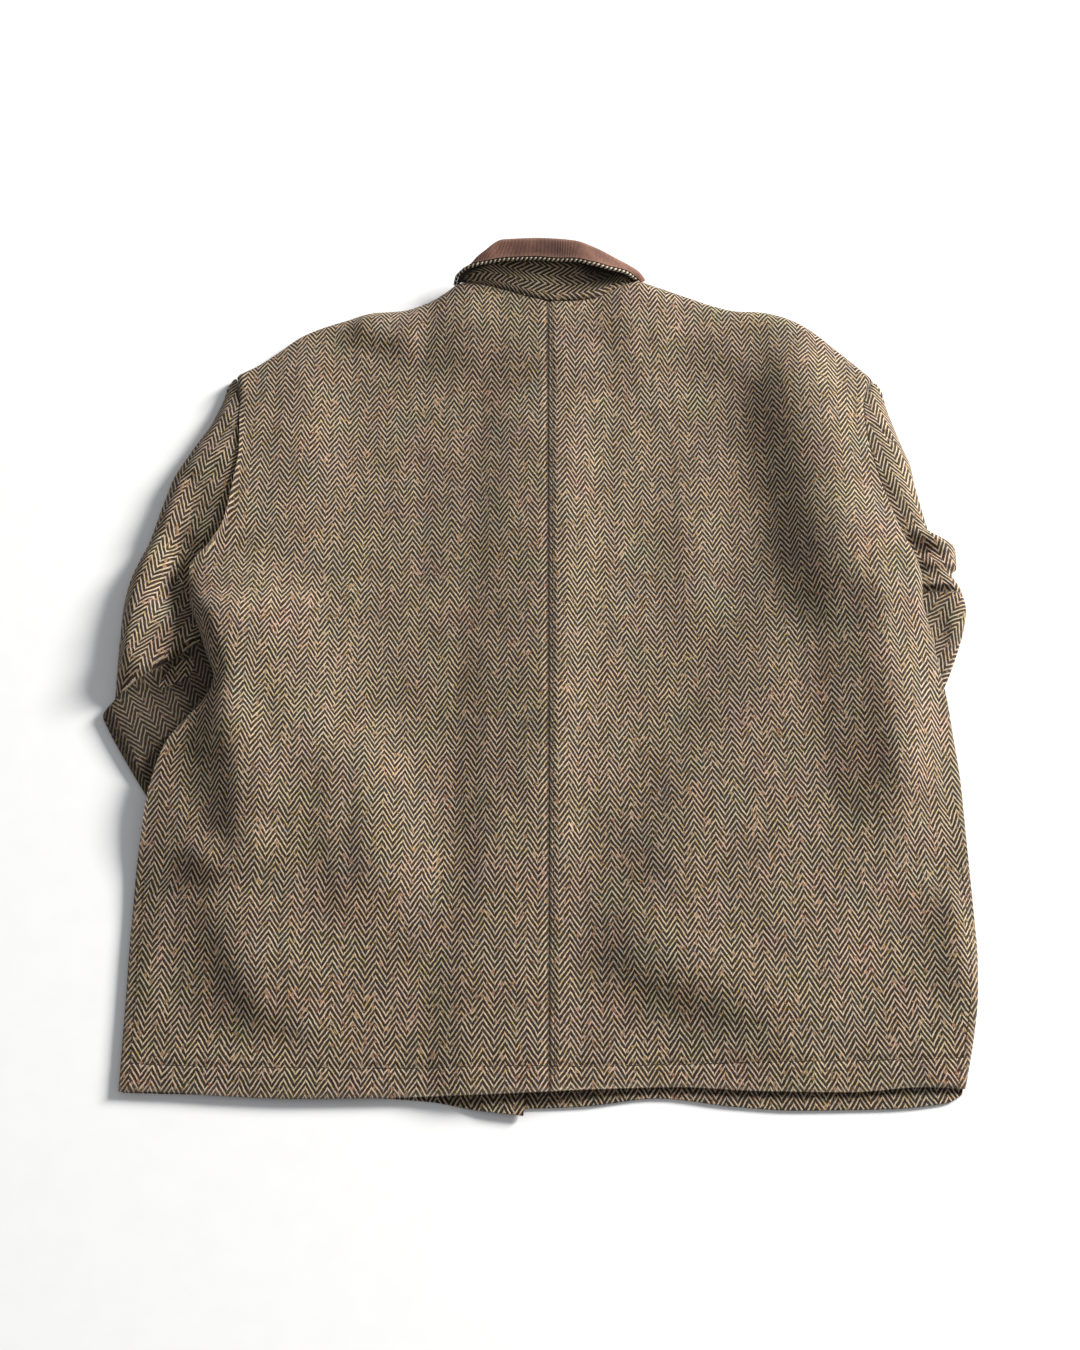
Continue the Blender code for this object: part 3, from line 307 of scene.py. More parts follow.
def run_along(points):
    """How far along a line each of its points lies."""
    return np.concatenate([[0.0], np.cumsum(np.linalg.norm(np.diff(points, axis=0), axis=1))])


def along(rows, places, by_length=True):
    """Read a table of rows smoothly at places from 0 to 1."""
    values = np.array(rows, dtype=float)
    knots = run_along(values[:, :2]) if by_length else np.arange(len(values), dtype=float)
    return smooth(knots / knots[-1], values, np.clip(np.atleast_1d(places), 0.0, 1.0))


def fade(t):
    """1 at t = 0, falling smoothly to 0 at t = 1."""
    t = np.clip(t, 0.0, 1.0)
    return 1.0 - t * t * (3.0 - 2.0 * t)


def rolled(t):
    """Quarter of an ellipse: 0 at the edge, 1 from t = 1 inwards."""
    t = np.clip(t, 0.0, 1.0)
    return np.sqrt(1.0 - (1.0 - t) ** 2)


def distance(x, y, points):
    """How far each place is from its own point."""
    return np.hypot(x - points[..., 0], y - points[..., 1])


def lifted(x, y, back_too):
    """Sum of the lifts at (x, y), in metres, of the fronts or of the back as well."""
    total = np.zeros_like(x)
    lifts = in_metres(LIFTS.values(), (0, 1, 2, 3, 4, 6))
    for x0, y0, x1, y1, half_width, height, blend, both in lifts:
        if not (both or back_too):
            continue
        length = math.hypot(x1 - x0, y1 - y0)
        ux, uy = (x1 - x0) / length, (y1 - y0) / length
        forward = (x - (x0 + x1) / 2) * ux + (y - (y0 + y1) / 2) * uy
        aside = (y - (y0 + y1) / 2) * ux - (x - (x0 + x1) / 2) * uy
        away = np.hypot(np.maximum(np.abs(forward) - length / 2, 0.0),
                        np.maximum(np.abs(aside) - half_width, 0.0))
        total = total + height * MM * fade(away / blend)
    return total


def edged(steps, edge_share, edge_steps):
    """Places from 0 to 1 that crowd towards 1, for an edge that rolls down."""
    inner = np.linspace(0.0, 1.0 - edge_share, steps + 1)[:-1]
    angles = np.linspace(0.0, math.pi / 2, edge_steps + 1)
    return np.concatenate([inner, 1.0 - edge_share * (1.0 - np.sin(angles))])


def patch(bottom, top, inner, outer, across, up):
    """Grid of rows between four edges, each a table of points."""
    u, v = across[None, :, None], up[:, None, None]
    low, high = (along(rows, across)[None, :, :2] for rows in (bottom, top))
    near, far = (along(rows, up)[:, None, :2] for rows in (inner, outer))
    corners = ((1 - u) * (1 - v) * low[:, :1] + u * (1 - v) * low[:, -1:]
               + (1 - u) * v * high[:, :1] + u * v * high[:, -1:])
    return (1 - v) * low + v * high + (1 - u) * near + u * far - corners

# %% [markdown]
# A laid garment is built from the bottom up. This class keeps the height of everything laid down so
# far on a fine grid of cells, so the next sheet can be kept clear of it, as cloth would be. A
# simulation would do the same with contacts, but it would also let the folds slide away.

# %% Laying one layer on another
CELL = 1.5 * MM
SURFACE_LOW = (-0.40, -0.40)
SURFACE_HIGH = (0.40, 0.44)


def surface_of(made):
    bpy.context.view_layer.update()
    return BVHTree.FromObject(made, bpy.context.evaluated_depsgraph_get())


class Layers:
    """Height of what has been laid down so far, on a grid of cells over the surface."""

    def __init__(self):
        self.x, self.y = (np.arange(low, high + CELL, CELL)
                          for low, high in zip(SURFACE_LOW, SURFACE_HIGH))
        self.top = np.zeros((len(self.y), len(self.x)))

    def add(self, made, below_y=1.0, below_top=1.0):
        """Lay an object down, or only its stretch below a line and a height."""
        tree = surface_of(made)
        corners = [made.matrix_world @ Vector(corner) for corner in made.bound_box]
        rows = np.flatnonzero((self.y > min(c.y for c in corners) - CELL)
                              & (self.y < min(max(c.y for c in corners) + CELL, below_y)))
        columns = np.flatnonzero((self.x > min(c.x for c in corners) - CELL)
                                 & (self.x < max(c.x for c in corners) + CELL))
        for row in rows:
            for column in columns:
                hit = tree.ray_cast((self.x[column], self.y[row], 1.0), (0.0, 0.0, -1.0))[0]
                if hit and hit.z < below_top:
                    self.top[row, column] = max(self.top[row, column], hit.z)

    def read(self, x, y):
        """Highest of the four cells round each place."""
        column = np.clip(((x - self.x[0]) / CELL).astype(int), 0, len(self.x) - 2)
        row = np.clip(((y - self.y[0]) / CELL).astype(int), 0, len(self.y) - 2)
        return np.max([self.top[row + i, column + j] for i in (0, 1) for j in (0, 1)], axis=0)

    def settle(self, x, y, z, stiffness=1):
        """Raise a sheet's underside z where it would sink into what lies below it.

        The stiffer the sheet, the wider it bridges: each step spreads the rise by one cell.
        """
        ground = self.read(x, y)
        push = np.maximum(ground + PLY_GAP * np.minimum(ground / MM, 1.0) - z, 0.0)
        for _ in range(stiffness):
            push = neighbours(push).max(axis=0)
        for _ in range(2 * stiffness):
            push = neighbours(push).mean(axis=0)
        return z + push


def neighbours(values):
    """Each value of a grid with the eight round it."""
    padded = np.pad(values, 1, mode="edge")
    rows, columns = values.shape
    return np.array([padded[i:i + rows, j:j + columns] for i in range(3) for j in range(3)])


laid = Layers()

# %% [markdown]
# Finer folds go on top of the lifts. Each fold follows a line drawn across the cloth, high in the
# middle and fading to both sides. The two sides may fade over different widths, because a real fold
# in heavy tweed has a steep side and a slack one. Furrows are folds with a negative height.

# %% Folds in the cloth
# Columns: left width, right width, height, then the points of the line, all in millimetres.
FOLDS = (
    (45, 70, 4.4, ((2, 385), (1, 150), (2, -80), (4, -180))),
    (34, 56, 9, ((210, 410), (222, 350), (236, 290), (248, 235), (264, 175), (276, 125), (278, 80),
        (277, 10))),
    (30, 28, 8, ((276, 110), (276, 40), (279, -20), (282, -65), (284, -120), (281, -200))),
    (90, 22, 9, ((-286, 135), (-297, 95), (-296, 60), (-288, 36), (-278, 10), (-271, -16),
        (-267, -37), (-263, -57), (-257, -88), (-251, -118), (-245, -150), (-243, -185),
        (-246, -215))),
    (45, 12, 4.5, ((-170, -25), (-176, -60), (-179, -95), (-178, -145), (-170, -192), (-156, -213),
        (-132, -222))),
    (50, 16, 4.4, ((-262, -190), (-264, -212), (-256, -243), (-241, -275), (-218, -301),
        (-180, -311), (-145, -314))),
    (30, 14, 6, ((-300, -150), (-290, -168), (-268, -183), (-245, -172), (-222, -142))),
    (35, 18, 3.4, ((-22, -60), (-37, -127), (-48, -171), (-66, -218))),
    (45, 18, 3.8, ((34, -232), (75, -263), (110, -283), (152, -298), (194, -312))),
    (30, 18, 7, ((-190, 368), (-172, 356), (-146, 345), (-110, 336))),
    (10, 22, 5.5, ((318, -180), (326, -215), (331, -256), (330, -305))),
    (40, 20, 2.4, ((120, -70), (110, -123), (91, -167), (74, -208))),
    (18, 12, -1.8, ((170, 352), (190, 330), (203, 290))),
    (12, 12, -1.6, ((84, 392), (90, 352), (86, 310))),
    (40, 16, 2, ((-205, 330), (-215, 250), (-208, 150), (-214, 40))),
    (14, 14, -1.4, ((-120, 260), (-112, 150), (-118, 40))),
    (30, 14, 1.8, ((130, 240), (122, 120), (128, 10))),
    (16, 12, 1.6, ((-226, -60), (-232, -110), (-228, -150))),
    (12, 12, 1.5, ((296, 20), (306, -60), (304, -130))),
    (14, 10, 2, ((-312, -200), (-318, -260), (-312, -320))),
)


def along_line(x, y, line):
    """Signed distance of each place from a line of points (left is below 0), and how far along."""
    best = np.full(x.shape, 9.0)
    signed = np.zeros(x.shape)
    share = np.zeros(x.shape)
    line = np.array(line)
    lengths = np.linalg.norm(np.diff(line, axis=0), axis=1)
    start = np.concatenate([[0.0], np.cumsum(lengths)])
    for at, length in enumerate(lengths):
        unit = (line[at + 1] - line[at]) / length
        dx, dy = x - line[at, 0], y - line[at, 1]
        forward = np.clip(dx * unit[0] + dy * unit[1], 0.0, length)
        off_x, off_y = dx - forward * unit[0], dy - forward * unit[1]
        away = np.hypot(off_x, off_y)
        nearer = away < best
        aside = dx * unit[1] - dy * unit[0]
        best = np.where(nearer, away, best)
        signed = np.where(nearer, np.where(aside < 0, -away, away), signed)
        share = np.where(nearer, (start[at] + forward) / start[-1], share)
    return signed, share


def folded(x, y, folds):
    """Sum of the folds at each place, in metres."""
    total = np.zeros_like(x)
    for left_width, right_width, height, line in folds:
        signed, share = along_line(x, y, along(in_metres(line), np.linspace(0, 1, 24)))
        width = np.where(signed < 0, left_width, right_width) / 1000
        ends = np.minimum(fade(1.0 - share / 0.3), fade(1.0 - (1.0 - share) / 0.3))
        total = total + height * MM * np.exp(-(signed / width) ** 2) * ends
    return total


def creased(x, y, scale, depth):
    """Small irregular creases, from noise that is stretched along the warp."""
    flat = np.column_stack([x.ravel(), y.ravel()])
    values = [noise.noise((px / scale, py / (scale * 2.2), 1.7)) for px, py in flat]
    return depth * np.array(values).reshape(x.shape)


print(len(FOLDS), "folds")

# %% [markdown]
# The tweed is a broken twill: columns between eight and nine millimetres wide whose slanting ribs
# turn at each column's edge, cream yarn over dark brown, with stray flecks of yellow, rust and
# grey. An image would fix its sharpness, so it is drawn with nodes: the distance across a column is
# folded back and forth, added to the distance up the warp, and the remainder of that sum gives the
# ribs. It reads the cloth's own flat map in metres, so it follows every fold at its real size.

# %% Helpers for finishes
class Finish:
    """A material with a few words for wiring it."""

    def __init__(self, name, roughness, sheen=0.0):
        self.material = bpy.data.materials.new(name)
        self.material.use_nodes = True
        self.tree = self.material.node_tree
        self.shader = self.tree.nodes["Principled BSDF"]
        for socket, value in (("Roughness", roughness), ("Specular IOR Level", 0.25),
                              ("Sheen Weight", sheen), ("Sheen Roughness", 0.55)):
            self.shader.inputs[socket].default_value = value

    def put(self, socket, value):
        """Set a socket, or link it where the value is another node's output."""
        if isinstance(value, bpy.types.NodeSocket):
            self.tree.links.new(value, socket)
        elif value is not None:
            socket.default_value = value

    def node(self, kind, *values, **settings):
        """Outputs of a new node, with its settings made and its first inputs put to values."""
        made = self.tree.nodes.new("ShaderNode" + kind)
        for setting, value in settings.items():
            setattr(made, setting, value)
        for socket, value in zip(made.inputs, values):
            self.put(socket, value)
        return made.outputs

    def calc(self, operation, first, second=0.0, third=0.0):
        return self.node("Math", first, second, third, operation=operation)[0]

    def flat_map(self):
        return self.node("UVMap", uv_map="flat")[0]

    def place(self):
        return self.node("TexCoord")["Object"]

    def scaled(self, vector, *amounts):
        return self.node("VectorMath", vector, amounts, operation="MULTIPLY")[0]

    def noise(self, vector, scale, detail=2.0, output="Fac"):
        return self.node("TexNoise", vector, None, scale, detail)[output]

    def cells(self, vector, scale):
        return self.node("SeparateColor", self.node("TexVoronoi", vector, None, scale)["Color"])[0]

    def steps(self, value, stops, sharp=True):
        """Colours by value: stops are pairs of a place from 0 to 1 and a colour."""
        made = self.tree.nodes.new("ShaderNodeValToRGB")
        ramp = made.color_ramp
        ramp.interpolation = "CONSTANT" if sharp else "LINEAR"
        for at, (place, colour) in enumerate(stops):
            stop = ramp.elements[at] if at < 2 else ramp.elements.new(place)
            stop.position = place
            stop.color = (*colour, 1.0)
        self.put(made.inputs[0], value)
        return made.outputs[0]

    def blend(self, share, first, second, kind="MIX"):
        first, second = (value if isinstance(value, bpy.types.NodeSocket) else (*value, 1.0)
                         for value in (first, second))
        return self.node("Mix", share, *[None] * 5, first, second, data_type="RGBA",
                         blend_type=kind)[2]

    def eased(self, value, low, high):
        return self.node("MapRange", value, low, high, interpolation_type="SMOOTHSTEP")[0]

    def grey(self, value):
        return self.node("CombineColor", value, value, value)[0]

    def painted(self, name):
        """Read one of the piece's own attributes: wear (1 where edges rub) or painted shade and
        dust (1 at its darkest).
        """
        return self.node("Attribute", attribute_name=name)["Fac"]

    def relief(self, height, depth, strength):
        bump = self.tree.nodes.new("ShaderNodeBump")
        for socket, value in (("Strength", strength), ("Distance", depth), ("Height", height)):
            self.put(bump.inputs[socket], value)
        self.put(self.shader.inputs["Normal"], bump.outputs[0])

    def coloured(self, colour):
        """The finished material, with its colour put in."""
        self.put(self.shader.inputs["Base Color"], colour)
        return self.material


# %% The herringbone tweed
COLUMN = 8.6 * MM           # width of a herringbone column
RIB_PITCH = 6.0 * MM        # from one rib to the next, up the warp
RIB_SLANT = 1.58
COLUMN_OFFSET = 0.18        # every second column starts this share of a rib later
WANDER = 2.4 * MM           # the yarns stray by this much
CREAM = (0.55, 0.425, 0.290)
GREY_CREAM = (0.38, 0.330, 0.265)
YELLOW = (0.43, 0.310, 0.125)
RUST = (0.27, 0.155, 0.090)
DARK = (0.024, 0.015, 0.009)
WARM_DARK = (0.046, 0.027, 0.015)
GREY_DARK = (0.034, 0.027, 0.022)
RUBBED_NAP = (0.24, 0.20, 0.15)
# colour of the painted shade in seams, folds and under the collar, with some dust in the seams
SHADE_AND_DUST_COLOUR = (0.018, 0.012, 0.008)


def herringbone(name, shade=1.0):
    """Tweed on a piece's flat map: u across the warp, v along it, both in metres."""
    cloth = Finish(name, 0.93, sheen=0.06)
    calc, flat = cloth.calc, cloth.flat_map()
    wander = cloth.scaled(cloth.noise(flat, 75.0, 2.0, "Color"), WANDER, WANDER, 0.0)
    across, up, _ = cloth.node("SeparateXYZ", cloth.node("VectorMath", flat, wander)[0])
    side = calc("PINGPONG", across, COLUMN)
    column = calc("FLOOR", calc("DIVIDE", across, COLUMN))
    offset = calc("MULTIPLY", calc("FLOORED_MODULO", column, 2.0), COLUMN_OFFSET)
    climb = calc("MULTIPLY_ADD", side, RIB_SLANT, up)
    turns = calc("ADD", calc("DIVIDE", climb, RIB_PITCH), offset)
    wave = calc("ABSOLUTE", calc("SUBTRACT", calc("FRACT", turns), 0.5))
    ragged = calc("MULTIPLY_ADD", cloth.noise(flat, 700.0, 1.0), 0.26, wave)
    rib = cloth.eased(ragged, 0.420, 0.500)
    speck = cloth.cells(cloth.scaled(flat, 1.0, 0.55, 1.0), 620.0)
    light_yarn = cloth.steps(speck, ((0.0, CREAM), (0.60, GREY_CREAM), (0.80, YELLOW),
                                     (0.90, CREAM), (0.97, RUST)))
    dark_yarn = cloth.steps(speck, ((0.0, DARK), (0.45, WARM_DARK), (0.80, GREY_DARK),
                                    (0.93, RUST)))
    colour = cloth.blend(rib, dark_yarn, light_yarn)
    blotch = cloth.noise(flat, 26.0, 3.0)
    tone = calc("MULTIPLY_ADD", blotch, 0.5, 0.74 * shade)
    streak = cloth.noise(cloth.scaled(flat, 1.0, 0.12, 1.0), 210.0, 1.0)
    tone = calc("MULTIPLY", tone, calc("MULTIPLY_ADD", streak, 0.36, 0.82))
    colour = cloth.blend(1.0, colour, cloth.grey(tone), "MULTIPLY")
    cast = cloth.scaled(cloth.noise(flat, 30.0, 3.0, "Color"), 2.0, 2.0, 2.0)
    colour = cloth.blend(0.15, colour, cast, "MULTIPLY")
    rubbed = calc("MULTIPLY", cloth.painted("wear"), calc("MULTIPLY", blotch, 0.45))
    colour = cloth.blend(rubbed, colour, RUBBED_NAP)
    fuzz = cloth.noise(flat, 1500.0, 2.0)
    cloth.relief(calc("MULTIPLY_ADD", rib, 0.7, fuzz), 0.45 * MM, 0.85)
    # Last, shade is painted into the colour: in the seams, with some dust there, past the sleeves'
    # creases and under the collar's fall.
    return cloth.coloured(cloth.blend(cloth.painted("painted_shade_and_dust"), colour, SHADE_AND_DUST_COLOUR))


tweed = herringbone("herringbone tweed")
inner_tweed = herringbone("herringbone tweed, inside", shade=0.92)
print("tweed columns", COLUMN / MM, "mm, ribs", RIB_PITCH / MM, "mm")

# %% [markdown]
# The top collar is a brown cord cloth: soft, fine ribs that run from the neck to the edge, the pile
# brushed paler where it is handled. The piping round it is two strands twisted together, one cream
# and one nearly black, so a slanting stripe on a round cord is all its colour needs.

# %% Cord cloth, piping, thread and horn
CORD_RIB = 1.25 * MM
TWIST_PITCH = 4.2 * MM      # along the piping, from one cream strand to the next
CORD_DARK, CORD_MIDDLE = (0.060, 0.025, 0.018), (0.150, 0.064, 0.043)
CORD_BRUSHED, CORD_RUBBED = (0.290, 0.138, 0.092), (0.30, 0.165, 0.115)


def cord_cloth():
    cloth = Finish("brown cord cloth", 0.82, sheen=0.15)
    calc, flat = cloth.calc, cloth.flat_map()
    along_rib = cloth.node("SeparateXYZ", flat)[1]
    rib = calc("DIVIDE", calc("PINGPONG", along_rib, CORD_RIB / 2), CORD_RIB / 2)
    brushed = cloth.noise(flat, 34.0, 4.0)
    pile = cloth.noise(cloth.scaled(flat, 1.0, 5.0, 1.0), 420.0, 2.0)
    shade = calc("MULTIPLY_ADD", pile, 0.5, calc("MULTIPLY", brushed, 0.75))
    colour = cloth.steps(shade, ((0.42, CORD_DARK), (0.60, CORD_MIDDLE), (0.78, CORD_BRUSHED)),
                         sharp=False)
    # Painted shade: the colour is darker in the grooves between the ribs and lighter on their tops.
    groove_shade = calc("MULTIPLY_ADD", rib, 0.30, 0.78)
    colour = cloth.blend(1.0, colour, cloth.grey(groove_shade), "MULTIPLY")
    cloth.relief(calc("MULTIPLY_ADD", pile, 0.5, rib), 0.35 * MM, 0.8)
    rubbed = calc("MULTIPLY", cloth.painted("wear"), 0.45)
    return cloth.coloured(cloth.blend(rubbed, colour, CORD_RUBBED))


def twisted_cord():
    cord = Finish("twisted piping", 0.75, sheen=0.15)
    calc = cord.calc
    share, place, _ = cord.node("SeparateXYZ", cord.flat_map())
    saw = calc("FRACT", calc("ADD", calc("DIVIDE", place, TWIST_PITCH), share))
    wave = calc("ABSOLUTE", calc("SUBTRACT", saw, 0.5))
    fibre = cord.noise(cord.place(), 1800.0, 1.0)
    strand = cord.eased(calc("MULTIPLY_ADD", fibre, 0.08, wave), 0.30, 0.36)
    cream = cord.steps(fibre, ((0.3, (0.50, 0.40, 0.27)), (0.7, (0.74, 0.64, 0.47))), sharp=False)
    cord.relief(calc("MULTIPLY_ADD", fibre, 0.4, wave), 0.4 * MM, 0.7)
    return cord.coloured(cord.blend(strand, (0.018, 0.012, 0.010), cream))


def sewing_thread(name, colour):
    thread = Finish(name, 0.6, sheen=0.1)
    fibre = thread.noise(thread.place(), 2500.0, 1.0)
    darker = tuple(part * 0.55 for part in colour)
    thread.relief(fibre, 0.1 * MM, 0.5)
    return thread.coloured(thread.steps(fibre, ((0.3, darker), (0.7, colour)), sharp=False))


def dark_horn():
    horn = Finish("dark horn", 0.34)
    grain = horn.noise(horn.scaled(horn.place(), 1.0, 4.0, 1.0), 260.0, 3.0)
    horn.put(horn.shader.inputs["Roughness"], horn.calc("MULTIPLY_ADD", grain, 0.25, 0.25))
    horn.relief(grain, 0.1 * MM, 0.3)
    return horn.coloured(horn.steps(grain, ((0.35, (0.022, 0.013, 0.008)),
                                            (0.7, (0.11, 0.06, 0.03))), sharp=False))


cord = cord_cloth()
piping = twisted_cord()
brown_thread = sewing_thread("brown thread", (0.075, 0.045, 0.028))
horn = dark_horn()
print("cord ribs", CORD_RIB / MM, "mm, piping twist", TWIST_PITCH / MM, "mm")

# %% [markdown]
# Every cloth piece is made the same way. A flat grid is bent onto the piece's shape, each corner
# keeps its place in the flat cut as a map in metres, and an extrusion of the whole grid gives the
# wall. Solidify would do that too, but it tilts the wall at a rim, where two panels then collide at
# their seam. Here the wall may go straight down, or follow the surface, or blend between the two.

# %% Making a piece of cloth
SHARP_ANGLE = math.radians(50.0)


def flat_lengths(points):
    """Lengths in the cloth along each row and each column of a grid, from its first corner."""
    rows = np.linalg.norm(np.diff(points, axis=1), axis=2)
    columns = np.linalg.norm(np.diff(points, axis=0), axis=2)
    along_rows = np.concatenate([np.zeros((len(points), 1)), np.cumsum(rows, axis=1)], axis=1)
    along_columns = np.concatenate([np.zeros((1, points.shape[1])), np.cumsum(columns, axis=0)])
    return along_rows, along_columns


def cut_area(flat):
    """Area of a grid of places in the flat cut."""
    a, b = flat[:-1, :-1], flat[:-1, 1:]
    c, d = flat[1:, 1:], flat[1:, :-1]
    first, second = c - a, d - b
    return float(np.abs(first[..., 0] * second[..., 1] - first[..., 1] * second[..., 0]).sum() / 2)


def bent_grid(points, flat, layers=()):
    """A grid bent onto points, with its flat map, and the row and column of each corner."""
    rows, columns = points.shape[:2]
    shape = bmesh.new()
    bmesh.ops.create_grid(shape, x_segments=columns - 1, y_segments=rows - 1, size=0.5)
    made = [getattr(shape.verts.layers, kind).new(name) for kind, name in layers]
    unfolded = shape.loops.layers.uv.new("flat")
    spots = {}
    for vert in shape.verts:
        spots[vert] = (round((vert.co.y + 0.5) * (rows - 1)),
                       round((vert.co.x + 0.5) * (columns - 1)))
        vert.co = points[spots[vert]]
    for face in shape.faces:
        for loop in face.loops:
            loop[unfolded].uv = flat[spots[loop.vert]]
    return shape, spots, made


def cloth(name, points, flat, finish, thickness=TWEED, lean=1.0, flip=False, shift=0.0,
          wear=0.0, painted_shade_and_dust=0.0):
    """A closed wall of cloth. The grid is its outer face, and its thickness lies behind it.

    Where lean is 1 the thickness follows the face's normal, where it is 0 it goes straight down.
    """
    lean, wear, painted_shade_and_dust = (np.broadcast_to(values, points.shape[:2]) for values in (lean, wear, painted_shade_and_dust))
    sheet, spots, (behind, worn, shade_and_dust_layer) = bent_grid(
        points, flat, (("float_vector", "behind"), ("float", "wear"), ("float", "painted_shade_and_dust")))
    if flip:
        bmesh.ops.reverse_faces(sheet, faces=sheet.faces)
    sheet.normal_update()
    down = Vector((0.0, 0.0, -1.0))
    for vert, normal in [(vert, vert.normal.copy()) for vert in sheet.verts]:
        spot = spots[vert]
        vert[worn], vert[shade_and_dust_layer] = wear[spot], painted_shade_and_dust[spot]
        vert.co += normal * shift
        vert[behind] = down.lerp(-normal, float(lean[spot])).normalized() * thickness
    grown = bmesh.ops.extrude_face_region(sheet, geom=sheet.faces[:], use_keep_orig=True)
    for item in grown["geom"]:
        if isinstance(item, bmesh.types.BMVert):
            item.co += item[behind]
    bmesh.ops.recalc_face_normals(sheet, faces=sheet.faces)
    made = finished(name, sheet, finish)
    print(f"{name}: {points.shape[0]} x {points.shape[1]}, cut {cut_area(flat) * 1e4:.0f} cm2")
    return made


def finished(name, shape, finish):
    """Turn a bmesh into an object of the jacket."""
    mesh = bpy.data.meshes.new(name)
    shape.to_mesh(mesh)
    shape.free()
    mesh.shade_smooth()
    mesh.set_sharp_from_angle(angle=SHARP_ANGLE)
    mesh.materials.append(finish)
    made = bpy.data.objects.new(name, mesh)
    bpy.context.scene.collection.objects.link(made)
    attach(made, "root")
    return made


def fitted(piece, node):
    """Hide the solid that a piece replaces, and return the piece."""
    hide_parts(node)
    return piece


def band_along_line(x, y, line, width):
    """1 on a line of the outline, fading to 0 over width: the paler nap of a worn edge, or painted
    shade in a seam.
    """
    signed, _ = along_line(x, y, line)
    return fade(np.abs(signed) / width)


# %% [markdown]
# A row of machine stitches is a row of small raised ovals of thread, each pulling the cloth down a
# little. Modelled one by one they catch the light as real ones do, and each has only a few faces.
# They read the height of the cloth they lie on from the cloth itself.

# %% Rows of stitches
STITCH_LENGTH = 3.0 * MM
STITCH_GAP = 1.1 * MM
THREAD_RADIUS = 0.42 * MM
THREAD_SUNK = 0.1 * MM


def stitches(name, line, surfaces):
    """Stitches along a line of (x, y), lying on the highest of the surfaces."""
    fine = along(line, np.linspace(0, 1, 400))
    lengths = run_along(fine)
    row = bmesh.new()
    count = int(lengths[-1] / (STITCH_LENGTH + STITCH_GAP))
    for number in range(count):
        start = number * (STITCH_LENGTH + STITCH_GAP) + STITCH_GAP / 2
        ends = []
        for at in (start, start + STITCH_LENGTH):
            x, y = (np.interp(at, lengths, fine[:, axis]) for axis in (0, 1))
            hits = [tree.ray_cast((x, y, 1.0), (0.0, 0.0, -1.0))[0] for tree in surfaces]
            heights = [hit.z for hit in hits if hit]
            if heights:
                ends.append(Vector((x, y, max(heights) - THREAD_SUNK + THREAD_RADIUS * 0.4)))
        if len(ends) == 2:
            lay_stitch(row, *ends)
    print(f"{name}: {count} stitches")
    finished(name, row, brown_thread)


def lay_stitch(row, start, end):
    """One oval of thread between two points."""
    made = bmesh.ops.create_uvsphere(row, u_segments=6, v_segments=4, radius=1.0)["verts"]
    along_it = (end - start).normalized()
    turn = Vector((0.0, 0.0, 1.0)).rotation_difference(along_it).to_matrix()
    half = (end - start).length / 2
    for vert in made:
        stretched = Vector((vert.co.x * THREAD_RADIUS, vert.co.y * THREAD_RADIUS,
                            vert.co.z * half))
        vert.co = turn @ stretched + (start + end) / 2

# %% [markdown]
# Pieces that close round, such as a fold of hidden layers or a cord, start from the same flat grid.
# It is wrapped into a tube, its two long edges are merged, and its ends are filled. The folded
# sleeve underneath shows two rounded lips at its edge, as cloth folded once does.

# %% Wrapping a grid into a closed piece
LIP = 0.003                 # roundness of a folded layer's edge


def wrapped(name, rings, flat, finish):
    """A grid whose rows are rings: wrapped round, merged where it meets, and closed at its ends."""
    rings = np.concatenate([rings, rings[:, :1]], axis=1)
    shape, _, _ = bent_grid(rings, flat)
    bmesh.ops.remove_doubles(shape, verts=shape.verts, dist=0.00001)
    bmesh.ops.holes_fill(shape, edges=[edge for edge in shape.edges if edge.is_boundary])
    bmesh.ops.recalc_face_normals(shape, faces=shape.faces)
    print(f"{name}: {len(rings)} rings of {rings.shape[1] - 1}")
    return finished(name, shape, finish)


def folded_layers(name, rows, finish):
    """Hidden layers folded on each other, one rounded solid with two lips along each side."""
    steps = np.linspace(-math.pi / 2, math.pi / 2, 6)
    side = [(LIP * (1 - math.cos(a)), 0.25 + 0.25 * math.sin(a)) for a in steps]
    side += [(LIP * (1 - math.cos(a)), 0.75 + 0.25 * math.sin(a)) for a in steps[1:]]
    sections = along(rows, np.linspace(0, 1, 48))
    rings = []
    for outer_x, outer_y, inner_x, inner_y, height_mm in sections:
        start, end = np.array((inner_x, inner_y)), np.array((outer_x, outer_y))
        width = np.linalg.norm(end - start)
        unit = (end - start) / width
        ring = [(*(start + unit * inset), share * height_mm * MM) for inset, share in side]
        ring += [(*(start + unit * width * share), height_mm * MM)
                 for share in np.linspace(0.1, 0.9, 9)]
        ring += [(*(end - unit * inset), share * height_mm * MM)
                 for inset, share in reversed(side)]
        rings.append(ring)
    rings = np.array(rings)
    flat = np.concatenate([rings, rings[:, :1]], axis=1)[..., :2]
    return wrapped(name, rings, flat, finish)


for node, rows, finish, slot in (("sleeve_left_under", PACK_LEFT, tweed, "tweed"),
                                 ("sleeve_right_under", PACK_RIGHT, tweed, "tweed"),
                                 ("collar_leaf_left", LEAF_LEFT, cord, "cord"),
                                 ("collar_leaf_right", LEAF_RIGHT, cord, "cord")):
    laid.add(fitted(folded_layers(node + "_cloth", rows, finish), node))

# %% [markdown]
# The top of each sleeve is lofted through its sections. Its weave runs along the arm, and because
# the forearm is folded back at the elbow, the weave turns there too. So the flat map has two
# straight parts, and the change between them hides in the crease. Past the crease shade is painted
# into the cloth's colour, more so on the left, where the photograph has its deepest shade.

